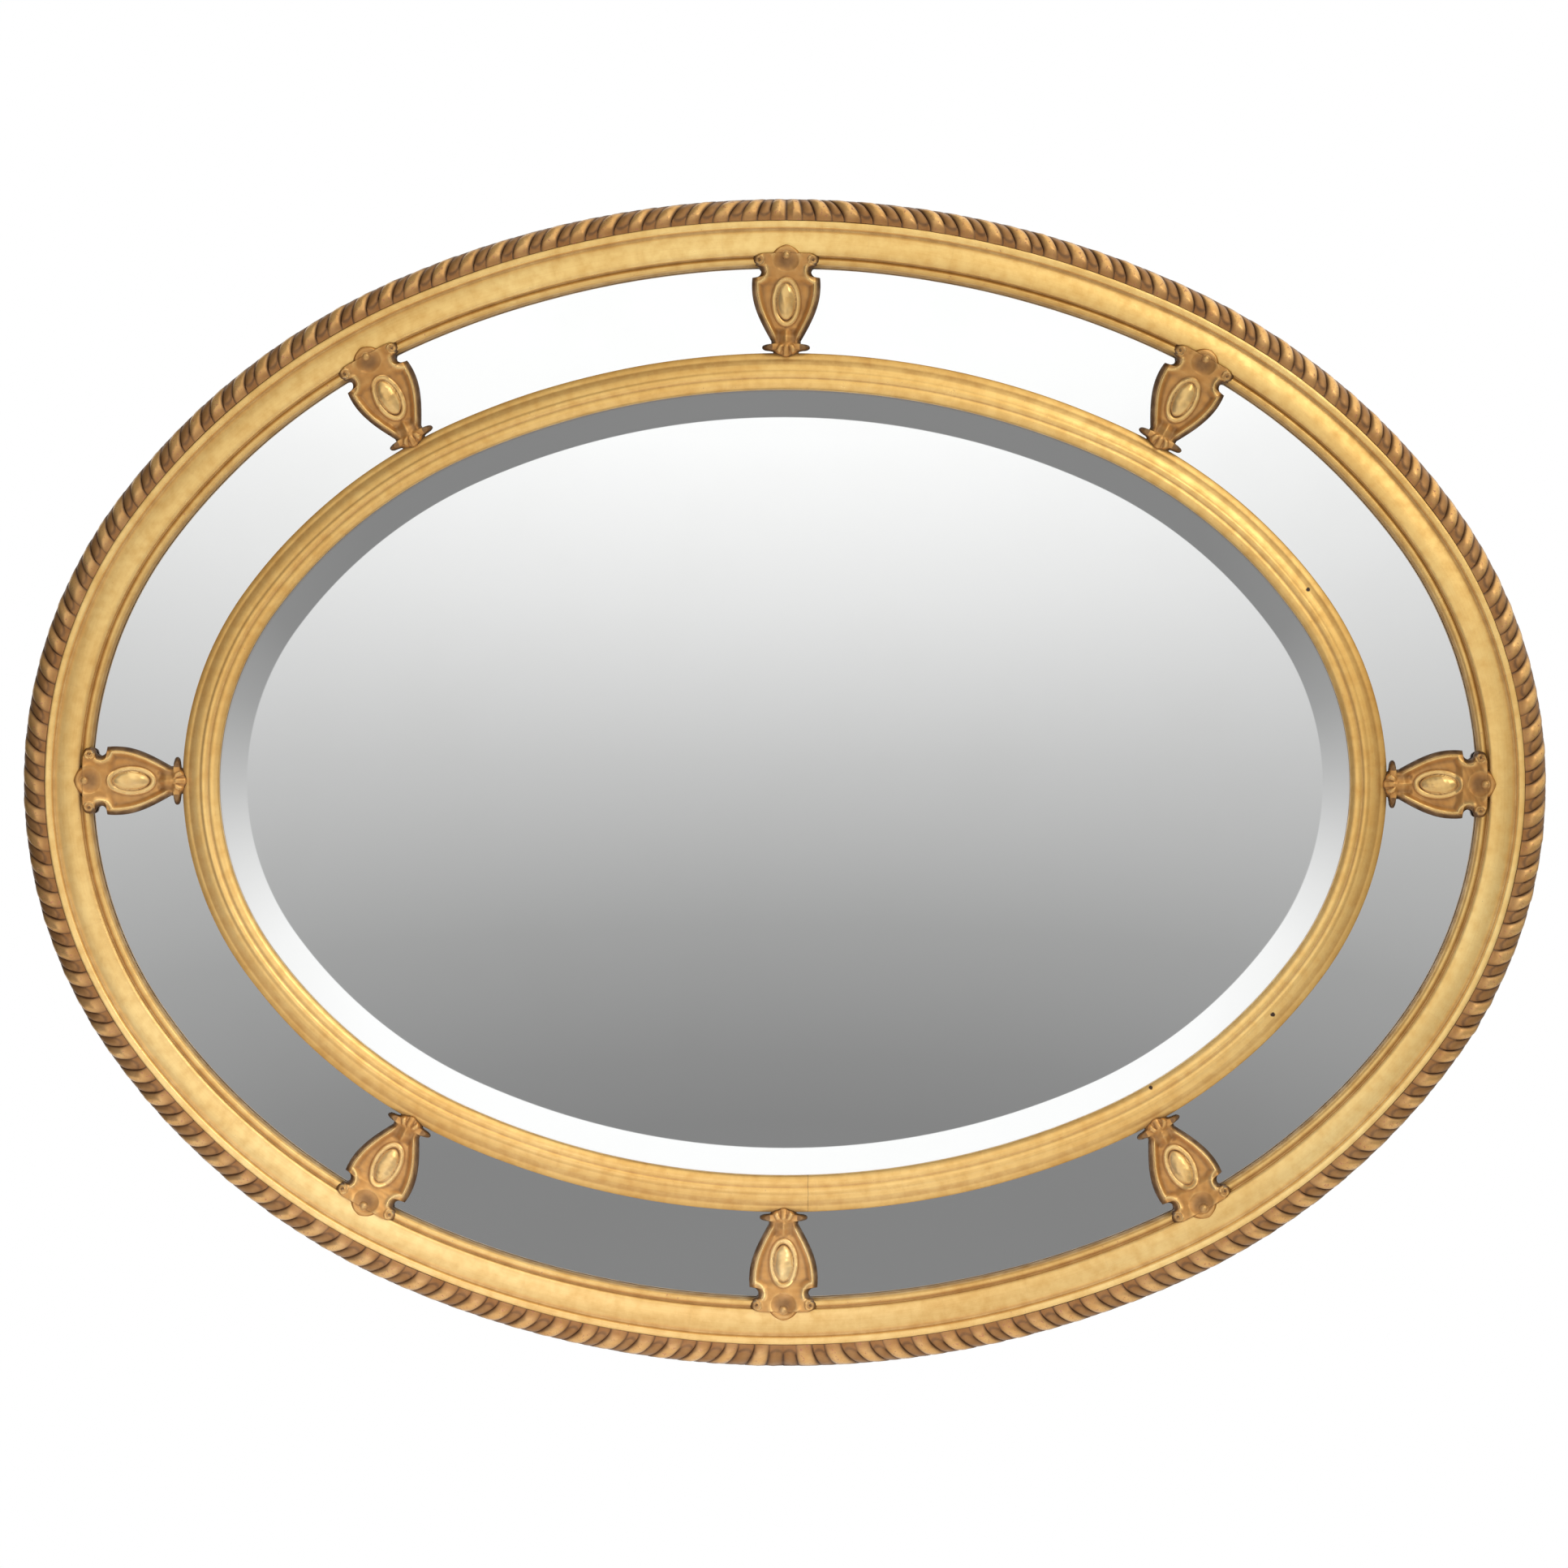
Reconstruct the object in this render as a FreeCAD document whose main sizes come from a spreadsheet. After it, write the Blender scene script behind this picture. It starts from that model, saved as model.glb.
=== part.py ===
import FreeCAD, Part
import Sketcher
import math
import os

# An oval wall mirror in a gilt wooden frame. A bevelled oval plate stands inside a reeded
# oval moulding; eight mirror plates fill the margin between it and the outer frame, and
# carved cartouches cover the joints of those plates. The outer edge is gadrooned.
#
# X runs along the length of the oval, Z is up and the mirror faces -Y. The wall is the
# plane y = 0. Heights in the section are measured from the frame's back towards the viewer.

# Driving dimensions in millimetres, angles in degrees, shares and counts as plain numbers
SIZES = [
    ("frame_length", 1300.0),
    ("frame_height", 997.0),
    ("wall_gap", 8.0),
    ("end_turn", 36.0),
    ("side_turn", 66.0),
    ("side_inset", 2.0),
    ("gadroon_width", 20.0),
    ("gadroon_seat", 12.0),
    ("fillet_height", 37.0),
    ("fillet_width", 6.0),
    ("quirk_slope", 1.2),
    ("quirk_depth", 3.5),
    ("quirk_width", 1.0),
    ("cushion_width", 21.6),
    ("cushion_drop", 3.4),
    ("cushion_crown", 2.4),
    ("cushion_crown_share", 0.54),
    ("bead_quirk_depth", 1.4),
    ("bead_quirk_width", 1.4),
    ("bead_width", 7.8),
    ("bead_drop", 2.0),
    ("bead_crown", 2.3),
    ("bead_crown_share", 0.58),
    ("glass_seat", 14.0),
    ("glass_thickness", 4.0),
    ("glass_lap", 14.0),
    ("glass_play", 1.0),
    ("board_lap", 15.0),
    ("board_play", 1.0),
    ("board_thickness", 8.0),
    ("board_gap", 0.6),
    ("gadroon_edge_inset", 0.8),
    ("gadroon_rise", 23.6),
    ("gadroon_glue", 0.1),
    ("gadroon_count", 72.0),
    ("gadroon_lean", 16.0),
    ("gadroon_lean_ramp", 2.0),
    ("lobe_share", 0.58),
    ("lobe_rise", 3.0),
    ("dart_rise", 1.2),
    ("lobe_body_share", 0.55),
    ("seam", 0.002),
    ("inner_length", 1028.0),
    ("inner_height", 733.2),
    ("reed_base", 17.0),
    ("edge_reed_width", 5.5),
    ("edge_reed_step", 2.4),
    ("edge_reed_crown", 3.1),
    ("broad_reed_width", 9.7),
    ("broad_reed_step", 3.2),
    ("broad_reed_crown", 4.4),
    ("fine_reed_width", 6.3),
    ("fine_reed_step", 0.4),
    ("fine_reed_crown", 1.8),
    ("inside_reed_width", 10.0),
    ("inside_reed_drop", 5.0),
    ("inside_reed_crown", 1.2),
    ("reed_middle_share", 0.5),
    ("tongue_start", 8.0),
    ("tongue_width", 16.8),
    ("plate_thickness", 6.0),
    ("plate_edge", 3.0),
    ("plate_bevel", 29.0),
    ("plate_play", 0.7),
    ("joint_gap", 0.8),
    ("diagonal_turn", 61.0),
    ("clasp_lap", 4.0),
    ("clasp_base", 14.3),
    ("clasp_tip_height", 21.5),
    ("clasp_foot_height", 24.6),
    ("clasp_waist_height", 23.4),
    ("clasp_middle_height", 25.6),
    ("clasp_shoulder_height", 29.8),
    ("clasp_neck_height", 33.4),
    ("clasp_ear_height", 36.0),
    ("clasp_shell_height", 37.6),
    ("clasp_end_height", 36.2),
    ("foot_leaf_half", 12.0),
    ("foot_leaf_at", -1.6),
    ("foot_leaf_mid", 6.5),
    ("foot_leaf_mid_at", -3.2),
    ("foot_ear_half", 20.4),
    ("foot_ear_at", 4.2),
    ("waist_half", 13.4),
    ("waist_at", 11.5),
    ("flank_half", 26.2),
    ("flank_at", 37.5),
    ("shoulder_half", 28.6),
    ("shoulder_at", 64.2),
    ("hollow_half", 21.4),
    ("hollow_at", 69.0),
    ("neck_half", 25.8),
    ("neck_at", 73.6),
    ("ear_half", 28.3),
    ("ear_at", 78.2),
    ("ear_end_half", 22.0),
    ("ear_end_at", 83.4),
    ("cheek_half", 16.6),
    ("cheek_at", 82.6),
    ("shell_half", 12.4),
    ("shell_at", 84.6),
    ("shell_mid_half", 8.6),
    ("shell_mid_at", 89.4),
    ("shell_end_at", 91.4),
    ("field_depth", 2.6),
    ("field_foot_at", 14.4),
    ("field_foot_half", 12.6),
    ("field_foot_side_at", 17.0),
    ("field_flank_half", 21.6),
    ("field_flank_at", 37.5),
    ("field_shoulder_half", 24.4),
    ("field_shoulder_at", 58.0),
    ("field_head_at", 62.4),
    ("rim_length", 37.6),
    ("rim_width", 20.6),
    ("rim_wire", 1.9),
    ("rim_at", 43.0),
    ("rim_height", 24.6),
    ("rim_tilt", 8.0),
    ("cabochon_length", 31.0),
    ("cabochon_width", 16.0),
    ("cabochon_depth", 13.0),
    ("cabochon_sink", 0.4),
    ("hood_wide", 10.0),
    ("hood_deep", 6.0),
    ("hood_long", 9.4),
    ("hood_at", 78.6),
    ("hood_height", 38.0),
    ("hood_tilt", 10.0),
    ("ball_radius", 4.0),
    ("ball_at", 82.2),
    ("ball_height", 34.4),
    ("volute_half", 22.8),
    ("volute_at", 78.2),
    ("volute_radius", 3.2),
    ("volute_wire", 1.4),
    ("volute_height", 36.4),
    ("toe_half", 16.4),
    ("toe_at", 4.4),
    ("toe_radius", 2.3),
    ("toe_wire", 1.1),
    ("toe_height", 24.2),
    ("flute_long", 13.0),
    ("flute_thick", 2.9),
    ("flute_thin", 1.1),
    ("flute_side", 7.0),
    ("flute_at", -2.0),
    ("flute_back", 0.9),
    ("flute_height", 22.9),
    ("flute_splay", 24.0),
    ("screw_head", 7.2),
    ("screw_head_depth", 2.4),
    ("screw_shank", 3.5),
    ("screw_length", 16.0),
    ("screw_tip", 3.0),
    ("screw_slot", 0.9),
    ("screw_slot_depth", 0.8),
    ("screw_play", 0.1),
    ("screw_pilot", 1.0),
    ("board_screw_inset", 7.5),
    ("hanger_turn", 25.0),
    ("hanger_inset", 16.0),
    ("strap_width", 16.0),
    ("strap_length", 52.0),
    ("strap_thickness", 1.5),
    ("strap_loop_play", 0.3),
    ("strap_corner", 5.0),
    ("strap_hole", 4.0),
    ("strap_first_hole", 26.0),
    ("strap_second_hole", 43.0),
    ("ring_wire", 3.5),
    ("ring_inside", 19.0),
    ("ring_leg", 5.0),
    ("ring_corner", 3.0),
    ("dome_head", 7.0),
    ("dome_depth", 2.3),
    ("dome_crown_share", 0.78),
    ("dome_length", 9.0),
    ("bumper_turn", 57.0),
    ("bumper_radius", 9.0),
    ("bumper_edge", 1.5),
]

doc = FreeCAD.newDocument("oval_wall_mirror")
dims = doc.addObject("Spreadsheet::Sheet", "dims")
rows = 0


def store(alias, number):
    """Write one named number to the next row of the sheet."""
    global rows
    rows += 1
    dims.set("A%d" % rows, alias)
    dims.set("B%d" % rows, repr(float(number)))
    dims.setAlias("B%d" % rows, alias)


for alias, number in SIZES:
    store(alias, number)
doc.recompute()


class Size:
    """A length with the sheet formula it comes from, so that a drawing can be bound to it."""

    def __init__(self, value, text):
        self.value = value
        self.text = text

    def join(self, other, sign, value):
        text = other.text if isinstance(other, Size) else repr(float(other))
        return Size(value, "(%s %s %s)" % (self.text, sign, text))

    def __add__(self, other):
        return self.join(other, "+", self.value + plain(other))

    def __sub__(self, other):
        return self.join(other, "-", self.value - plain(other))

    def __mul__(self, other):
        return self.join(other, "*", self.value * plain(other))

    def __truediv__(self, other):
        return self.join(other, "/", self.value / plain(other))

    def __neg__(self):
        return Size(-self.value, "(0 - %s)" % self.text)


def plain(item):
    """The number behind a Size or a number."""
    return item.value if isinstance(item, Size) else float(item)


def size(alias):
    """One cell of the sheet as a Size."""
    return Size(float(dims.get(alias)), "dims.%s" % alias)


ZERO = Size(0.0, "0")


def spot(x, y, z):
    """A point or direction in space."""
    return FreeCAD.Vector(plain(x), plain(y), plain(z))


def bind(item, **formulas):
    """Bind properties of an object to the sheet."""
    for name, length in formulas.items():
        item.setExpression(name.replace("__", "."), length.text)


def new_body(label):
    """An empty body."""
    body = doc.addObject("PartDesign::Body", label)
    body.Label = label
    return body


def new_sketch(body, name, role):
    """A drawing on one of the body's own origin planes."""
    sketch = body.newObject("Sketcher::SketchObject", name)
    base = [item for item in body.Origin.OriginFeatures if item.Role == role][0]
    sketch.AttachmentSupport = [(base, "")]
    sketch.MapMode = "FlatFace"
    return sketch


class Ties:
    """Constraints of one drawing, with the formulas that drive them."""

    def __init__(self, sketch):
        self.sketch = sketch
        self.rules = []
        self.formulas = []

    def rule(self, *terms):
        self.rules.append(Sketcher.Constraint(*terms))

    def driven(self, length, *terms):
        self.formulas.append((len(self.rules), length.text))
        self.rules.append(Sketcher.Constraint(*terms, length.value))

    def along(self, kind, axis, part, end, length):
        """Distance of a point from the drawing's origin along one direction."""
        if length.value == 0:
            self.rule("PointOnObject", part, end, axis)
        elif length.value > 0:
            self.driven(length, kind, -1, 1, part, end)
        else:
            self.driven(-length, kind, part, end, -1, 1)

    def point(self, part, end, x, y):
        self.along("DistanceX", -2, part, end, x)
        self.along("DistanceY", -1, part, end, y)

    def apply(self):
        first = self.sketch.ConstraintCount
        self.sketch.addConstraint(self.rules)
        for index, text in self.formulas:
            self.sketch.setExpression("Constraints[%d]" % (first + index), text)


def outline(sketch, corners):
    """Closed line of straight edges and arcs. A corner is (x, y); where the edge that leaves
    it is an arc, the point that the arc passes through follows: (x, y, via_x, via_y)."""
    ties = Ties(sketch)
    edges = []
    total = len(corners)
    for index, corner in enumerate(corners):
        after = corners[(index + 1) % total]
        start = spot(corner[0], corner[1], 0)
        end = spot(after[0], after[1], 0)
        if len(corner) == 2:
            part = sketch.addGeometry(Part.LineSegment(start, end), False)
            edges.append((part, 1, 2))
            continue
        middle = spot(corner[2], corner[3], 0)
        turn = (middle - start).cross(end - middle).z
        if turn > 0:
            part = sketch.addGeometry(Part.Arc(start, middle, end), False)
            edges.append((part, 1, 2))
        else:
            part = sketch.addGeometry(Part.Arc(end, middle, start), False)
            edges.append((part, 2, 1))
        via = sketch.addGeometry(Part.Point(middle), True)
        ties.rule("PointOnObject", via, 1, part)
        ties.point(via, 1, corner[2], corner[3])
    for index, corner in enumerate(corners):
        part, first, last = edges[index]
        following = edges[(index + 1) % total]
        ties.rule("Coincident", part, last, following[0], following[1])
        ties.point(part, first, corner[0], corner[1])
    ties.apply()


HALVINGS = 50


class Oval:
    """An oval of eight tangent arcs: two end arcs, two side arcs and four shoulders between."""

    def __init__(self, name, length, height):
        self.name = name
        self.half_length = size(length) / 2
        self.half_height = size(height) / 2
        self.end_turn = math.radians(plain(size("end_turn")))
        self.side_turn = math.radians(plain(size("side_turn")))
        long_half = plain(self.half_length)
        short_half = plain(self.half_height)
        middle = (self.end_turn + self.side_turn) / 2
        spread = (long_half * math.cos(middle)) ** 2 + (short_half * math.sin(middle)) ** 2
        shoulder = (long_half * short_half) ** 2 / spread ** 1.5
        # The shoulder arc has the ellipse's own curvature; the other two close the oval
        c1, s1 = math.cos(self.end_turn), math.sin(self.end_turn)
        c2, s2 = math.cos(self.side_turn), math.sin(self.side_turn)
        across = long_half - shoulder * (c1 - c2)
        up = short_half - shoulder * (s2 - s1)
        scale = (1 - c1) * (1 - s2) - c2 * s1
        end = (across * (1 - s2) - c2 * up) / scale
        side = ((1 - c1) * up - s1 * across) / scale
        for alias, number in (("end", end), ("shoulder", shoulder), ("side", side)):
            store("%s_%s_radius" % (name, alias), number)
        doc.recompute()
        self.end = size("%s_end_radius" % name)
        self.shoulder = size("%s_shoulder_radius" % name)
        self.side = size("%s_side_radius" % name)
        self.end_x = plain(self.half_length - self.end)
        self.side_z = plain(self.half_height - self.side)
        self.shoulder_x = self.end_x + (end - shoulder) * c1
        self.shoulder_z = (end - shoulder) * s1

    def centre(self, turn):
        """Centre and radius of the arc whose normal has this turn from +X, in radians."""
        x, z = math.cos(turn), math.sin(turn)
        lift = math.atan2(abs(z), abs(x))
        if lift <= self.end_turn:
            return math.copysign(self.end_x, x), 0.0, plain(self.end)
        if lift >= self.side_turn:
            return 0.0, math.copysign(1.0, z) * self.side_z, plain(self.side)
        return (math.copysign(self.shoulder_x, x), math.copysign(1.0, z) * self.shoulder_z,
                plain(self.shoulder))

    def at(self, turn, inset):
        """Point on the line a given inset inside the oval, where its normal has this turn."""
        x, z, radius = self.centre(turn)
        reach = radius - plain(inset)
        return x + reach * math.cos(turn), z + reach * math.sin(turn)

    def turn_where(self, axis, distance, inset):
        """Turn of the normal where a line inset into the oval lies a distance from its centre:
        axis 0 measures across and axis 1 upwards. A quarter turn is halved again and again."""
        near, far = (0.0, math.pi / 2) if axis else (math.pi / 2, 0.0)
        for step in range(HALVINGS):
            middle = (near + far) / 2
            if self.at(middle, inset)[axis] < plain(distance):
                near = middle
            else:
                far = middle
        return near

    def half_line(self):
        """Length of the line from the top centre to the bottom centre."""
        quarter = plain(self.side) * (math.pi / 2 - self.side_turn)
        quarter += plain(self.shoulder) * (self.side_turn - self.end_turn)
        quarter += plain(self.end) * self.end_turn
        return 2 * quarter

    def turn_at(self, run):
        """Turn of the normal after a run clockwise from the top centre."""
        half = self.half_line()
        run = run % (2 * half)
        if run > half:
            return math.pi - self.turn_at(2 * half - run)
        if run > half / 2:
            return -self.turn_at(half - run)
        side_run = plain(self.side) * (math.pi / 2 - self.side_turn)
        if run <= side_run:
            return math.pi / 2 - run / plain(self.side)
        shoulder_run = plain(self.shoulder) * (self.side_turn - self.end_turn)
        if run <= side_run + shoulder_run:
            return self.side_turn - (run - side_run) / plain(self.shoulder)
        return self.end_turn - (run - side_run - shoulder_run) / plain(self.end)

    def draw(self, sketch, inset):
        """Draw the oval in a sketch, a given inset inside its own line."""
        ties = Ties(sketch)
        f1, f2, half_turn = self.end_turn, self.side_turn, math.pi
        spans = [(-f1, f1), (f1, f2), (f2, half_turn - f2), (half_turn - f2, half_turn - f1),
                 (half_turn - f1, half_turn + f1), (half_turn + f1, half_turn + f2),
                 (half_turn + f2, 2 * half_turn - f2), (2 * half_turn - f2, 2 * half_turn - f1)]
        arcs = []
        for first, last in spans:
            x, z, radius = self.centre((first + last) / 2)
            circle = Part.Circle(spot(x, z, 0), spot(0, 0, 1), radius - plain(inset))
            arcs.append(sketch.addGeometry(Part.ArcOfCircle(circle, first, last), False))
        for index, part in enumerate(arcs):
            ties.rule("Tangent", part, 2, arcs[(index + 1) % len(arcs)], 1)
        for first, twins, radius in ((0, (4,), self.end), (1, (3, 5, 7), self.shoulder),
                                     (2, (6,), self.side)):
            ties.driven(radius - inset, "Radius", arcs[first])
            for twin in twins:
                ties.rule("Equal", arcs[first], arcs[twin])
        reach = self.half_length - self.end
        drop = self.half_height - self.side
        ties.point(arcs[0], 3, reach, ZERO)
        ties.point(arcs[4], 3, -reach, ZERO)
        ties.point(arcs[2], 3, ZERO, drop)
        ties.point(arcs[6], 3, ZERO, -drop)
        ties.apply()


def carry(label, oval, corners, kind):
    """Body whose section is carried round the oval. The section's corners are measured
    inwards from the oval's line and forwards from the frame's back."""
    body = new_body(label)
    spine = new_sketch(body, label + "_spine", "XZ_Plane")
    oval.draw(spine, ZERO)
    section = new_sketch(body, label + "_section", "XY_Plane")
    placed = []
    for corner in corners:
        point = [oval.half_length - corner[0], -corner[1]]
        if len(corner) == 4:
            point += [oval.half_length - corner[2], -corner[3]]
        placed.append(tuple(point))
    outline(section, placed)
    pipe = body.newObject(kind, label + "_run")
    pipe.Profile = section
    pipe.Spine = (spine, ["Edge%d" % number for number in range(1, 9)])
    bind(body, Placement__Base__y=-size("wall_gap"))
    return body


def prism(label, draw, depth, back, role="XZ_Plane"):
    """Body with a drawn outline and an even depth towards the viewer from a given height."""
    body = new_body(label)
    sketch = new_sketch(body, label + "_outline", role)
    draw(sketch)
    pad = body.newObject("PartDesign::Pad", label + "_pad")
    pad.Profile = sketch
    bind(pad, Length=depth)
    if role == "XZ_Plane":
        bind(body, Placement__Base__y=-(size("wall_gap") + back))
    return body


def combine(kind, label, first, second):
    """Cut, common or fusion of two objects."""
    item = doc.addObject(kind, label)
    item.Label = label
    item.Base = first
    item.Tool = second
    return item


def gather(kind, label, items, field):
    """Compound or fusion of several objects."""
    item = doc.addObject(kind, label)
    item.Label = label
    setattr(item, field, items)
    return item


def link(label, target, placement):
    """Another copy of an object in its own place."""
    item = doc.addObject("App::Link", label)
    item.LinkedObject = target
    item.Placement = placement
    return item


def mirrored(label, source, normal):
    """Mirror image of an object in a plane through the centre of the oval."""
    item = doc.addObject("Part::Mirroring", label)
    item.Label = label
    item.Source = source
    item.Normal = normal
    return item


ACROSS = spot(1, 0, 0)
UPWARD = spot(0, 0, 1)
BACKWARD = spot(0, 1, 0)

frame_line = Oval("frame", "frame_length", "frame_height")
inner_line = Oval("inner", "inner_length", "inner_height")

# Section of the outer frame, from the outer edge inwards
wall_gap = size("wall_gap")
glass_back = size("glass_seat") - size("glass_thickness")
fillet_end = size("gadroon_width") + size("fillet_width")
cushion_start = fillet_end + size("quirk_slope") + size("quirk_width")
cushion_low = size("fillet_height") - size("quirk_depth")
cushion_end = cushion_start + size("cushion_width")
cushion_foot = cushion_low - size("cushion_drop")
bead_start = cushion_end + size("bead_quirk_width")
bead_low = cushion_foot - size("bead_quirk_depth")
sight = bead_start + size("bead_width")
glass_wall = sight - size("glass_lap")
board_wall = glass_wall - size("board_lap")
cushion_via = cushion_start + size("cushion_width") * size("cushion_crown_share")
bead_via = bead_start + size("bead_width") * size("bead_crown_share")

frame_section = [
    (size("side_inset"), ZERO),
    (size("side_inset"), size("gadroon_seat")),
    (size("gadroon_width"), size("gadroon_seat")),
    (size("gadroon_width"), size("fillet_height")),
    (fillet_end, size("fillet_height")),
    (fillet_end + size("quirk_slope"), cushion_low),
    (cushion_start, cushion_low, cushion_via, cushion_low + size("cushion_crown")),
    (cushion_end, cushion_foot),
    (cushion_end, bead_low),
    (bead_start, bead_low, bead_via, bead_low + size("bead_crown")),
    (sight, bead_low - size("bead_drop")),
    (sight, size("glass_seat")),
    (glass_wall, size("glass_seat")),
    (glass_wall, glass_back),
    (board_wall, glass_back),
    (board_wall, ZERO),
]
frame_blank = carry("frame_blank", frame_line, frame_section, "PartDesign::AdditivePipe")

# Section of the inner moulding: four reeds on a cap, with a tongue between the plates
reed_one = size("edge_reed_width")
reed_two = reed_one + size("broad_reed_width")
reed_three = reed_two + size("fine_reed_width")
inner_width = reed_three + size("inside_reed_width")
crest_one = size("reed_base") + size("edge_reed_step")
crest_two = crest_one + size("broad_reed_step")
crest_three = crest_two + size("fine_reed_step")
reed_half = size("reed_middle_share")
tongue_end = size("tongue_start") + size("tongue_width")

inner_section = [
    (ZERO, size("glass_seat")),
    (ZERO, size("reed_base"), reed_one * reed_half, size("reed_base") + size("edge_reed_crown")),
    (reed_one, crest_one,
     reed_one + size("broad_reed_width") * reed_half, crest_one + size("broad_reed_crown")),
    (reed_two, crest_two,
     reed_two + size("fine_reed_width") * reed_half, crest_two + size("fine_reed_crown")),
    (reed_three, crest_three,
     reed_three + size("inside_reed_width") * reed_half, crest_three + size("inside_reed_crown")),
    (inner_width, crest_three - size("inside_reed_drop")),
    (inner_width, size("glass_seat")),
    (tongue_end, size("glass_seat")),
    (tongue_end, glass_back),
    (size("tongue_start"), glass_back),
    (size("tongue_start"), size("glass_seat")),
]
inner_blank = carry("inner_blank", inner_line, inner_section, "PartDesign::AdditivePipe")

# The bevelled centre plate lies on the backboards; the bevel is ground off its front edge
plate_inset = tongue_end + size("plate_play")
centre_plate = prism("centre_plate", lambda sketch: inner_line.draw(sketch, plate_inset),
                     size("plate_thickness"), glass_back)
bevel_spine = new_sketch(centre_plate, "bevel_spine", "XZ_Plane")
inner_line.draw(bevel_spine, ZERO)
bevel_section = new_sketch(centre_plate, "bevel_section", "XY_Plane")
bevel_slope = (size("plate_thickness") - size("plate_edge")) / size("plate_bevel")
bevel_rim = inner_line.half_length - plate_inset
bevel_over = size("plate_play")
outline(bevel_section, [
    (bevel_rim + bevel_over, -(size("plate_edge") - bevel_slope * bevel_over)),
    (bevel_rim - size("plate_bevel"), -size("plate_thickness")),
    (bevel_rim - size("plate_bevel"), -(size("plate_thickness") + size("plate_edge"))),
    (bevel_rim + bevel_over, -(size("plate_thickness") + size("plate_edge"))),
])
bevel = centre_plate.newObject("PartDesign::SubtractivePipe", "bevel_run")
bevel.Profile = bevel_section
bevel.Spine = (bevel_spine, ["Edge%d" % number for number in range(1, 9)])


# The margin plates are cut from one ring; their joints lie on the axes of the cartouches
def draw_margin(sketch):
    frame_line.draw(sketch, glass_wall + size("glass_play"))
    inner_line.draw(sketch, size("tongue_start") - size("plate_play"))


margin_ring = prism("margin_ring", draw_margin, size("glass_thickness"), glass_back)
diagonal = math.radians(plain(size("diagonal_turn")))
diagonal_x, diagonal_z = inner_line.at(diagonal, 0)
store("diagonal_x", diagonal_x)
store("diagonal_z", diagonal_z)
store("diagonal_cos_share", math.cos(diagonal))
store("diagonal_sin_share", math.sin(diagonal))
doc.recompute()
reach = size("frame_length")
half_gap = size("joint_gap") / 2
cos_share, sin_share = size("diagonal_cos_share"), size("diagonal_sin_share")
# Two points on the diagonal joint: where it meets an axis of the oval, and far outside
low_z = size("diagonal_z") - size("diagonal_x") * sin_share / cos_share
low_x = size("diagonal_x") - size("diagonal_z") * cos_share / sin_share
far_x = size("diagonal_x") + reach * cos_share
far_z = size("diagonal_z") + reach * sin_share
kerf_x = half_gap * sin_share
kerf_z = half_gap * cos_share
# Steps along the axes that keep half the gap on each side of the joint
head_step = half_gap / cos_share + half_gap * sin_share / cos_share
side_step = half_gap / sin_share + half_gap * cos_share / sin_share


def draw_head_wedge(sketch):
    outline(sketch, [(half_gap, low_z + head_step), (far_x - kerf_x, far_z + kerf_z),
                     (half_gap, far_z + kerf_z)])


def draw_side_wedge(sketch):
    outline(sketch, [(low_x + side_step, half_gap), (far_x, half_gap), (far_x + kerf_x, far_z - kerf_z)])


wedges = []
for name, draw in (("head_wedge", draw_head_wedge), ("side_wedge", draw_side_wedge)):
    wedges.append(prism(name, draw, size("glass_thickness"), glass_back))
# Plates are numbered clockwise from the top centre
plates = {}
for number, wedge in ((1, wedges[0]), (2, wedges[1])):
    plates[number] = combine("Part::Common", "margin_plate_%d" % number, margin_ring, wedge)
for number, source, normal in ((3, 2, UPWARD), (4, 1, UPWARD)):
    plates[number] = mirrored("margin_plate_%d" % number, plates[source], normal)
for number, source in ((5, 4), (6, 3), (7, 2), (8, 1)):
    plates[number] = mirrored("margin_plate_%d" % number, plates[source], ACROSS)

# One cartouche is drawn at the top centre: z is measured outwards from the inner moulding
half_corners = [
    (ZERO, -size("clasp_lap"), size("foot_leaf_mid"), size("foot_leaf_mid_at")),
    (size("foot_leaf_half"), size("foot_leaf_at"), size("foot_ear_half"), size("foot_ear_at")),
    (size("waist_half"), size("waist_at"), size("flank_half"), size("flank_at")),
    (size("shoulder_half"), size("shoulder_at"), size("hollow_half"), size("hollow_at")),
    (size("neck_half"), size("neck_at"), size("ear_half"), size("ear_at")),
    (size("ear_end_half"), size("ear_end_at"), size("cheek_half"), size("cheek_at")),
    (size("shell_half"), size("shell_at"), size("shell_mid_half"), size("shell_mid_at")),
]


def draw_clasp(sketch):
    corners = list(half_corners)
    corners.append((ZERO, size("shell_end_at"), -half_corners[-1][2], half_corners[-1][3]))
    for index in range(len(half_corners) - 1, 0, -1):
        corner, before = half_corners[index], half_corners[index - 1]
        corners.append((-corner[0], corner[1], -before[2], before[3]))
    outline(sketch, corners)


def draw_field(sketch):
    outline(sketch, [
        (-size("field_foot_half"), size("field_foot_side_at"), ZERO, size("field_foot_at")),
        (size("field_foot_half"), size("field_foot_side_at"),
         size("field_flank_half"), size("field_flank_at")),
        (size("field_shoulder_half"), size("field_shoulder_at"), ZERO, size("field_head_at")),
        (-size("field_shoulder_half"), size("field_shoulder_at"),
         -size("field_flank_half"), size("field_flank_at")),
    ])


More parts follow.
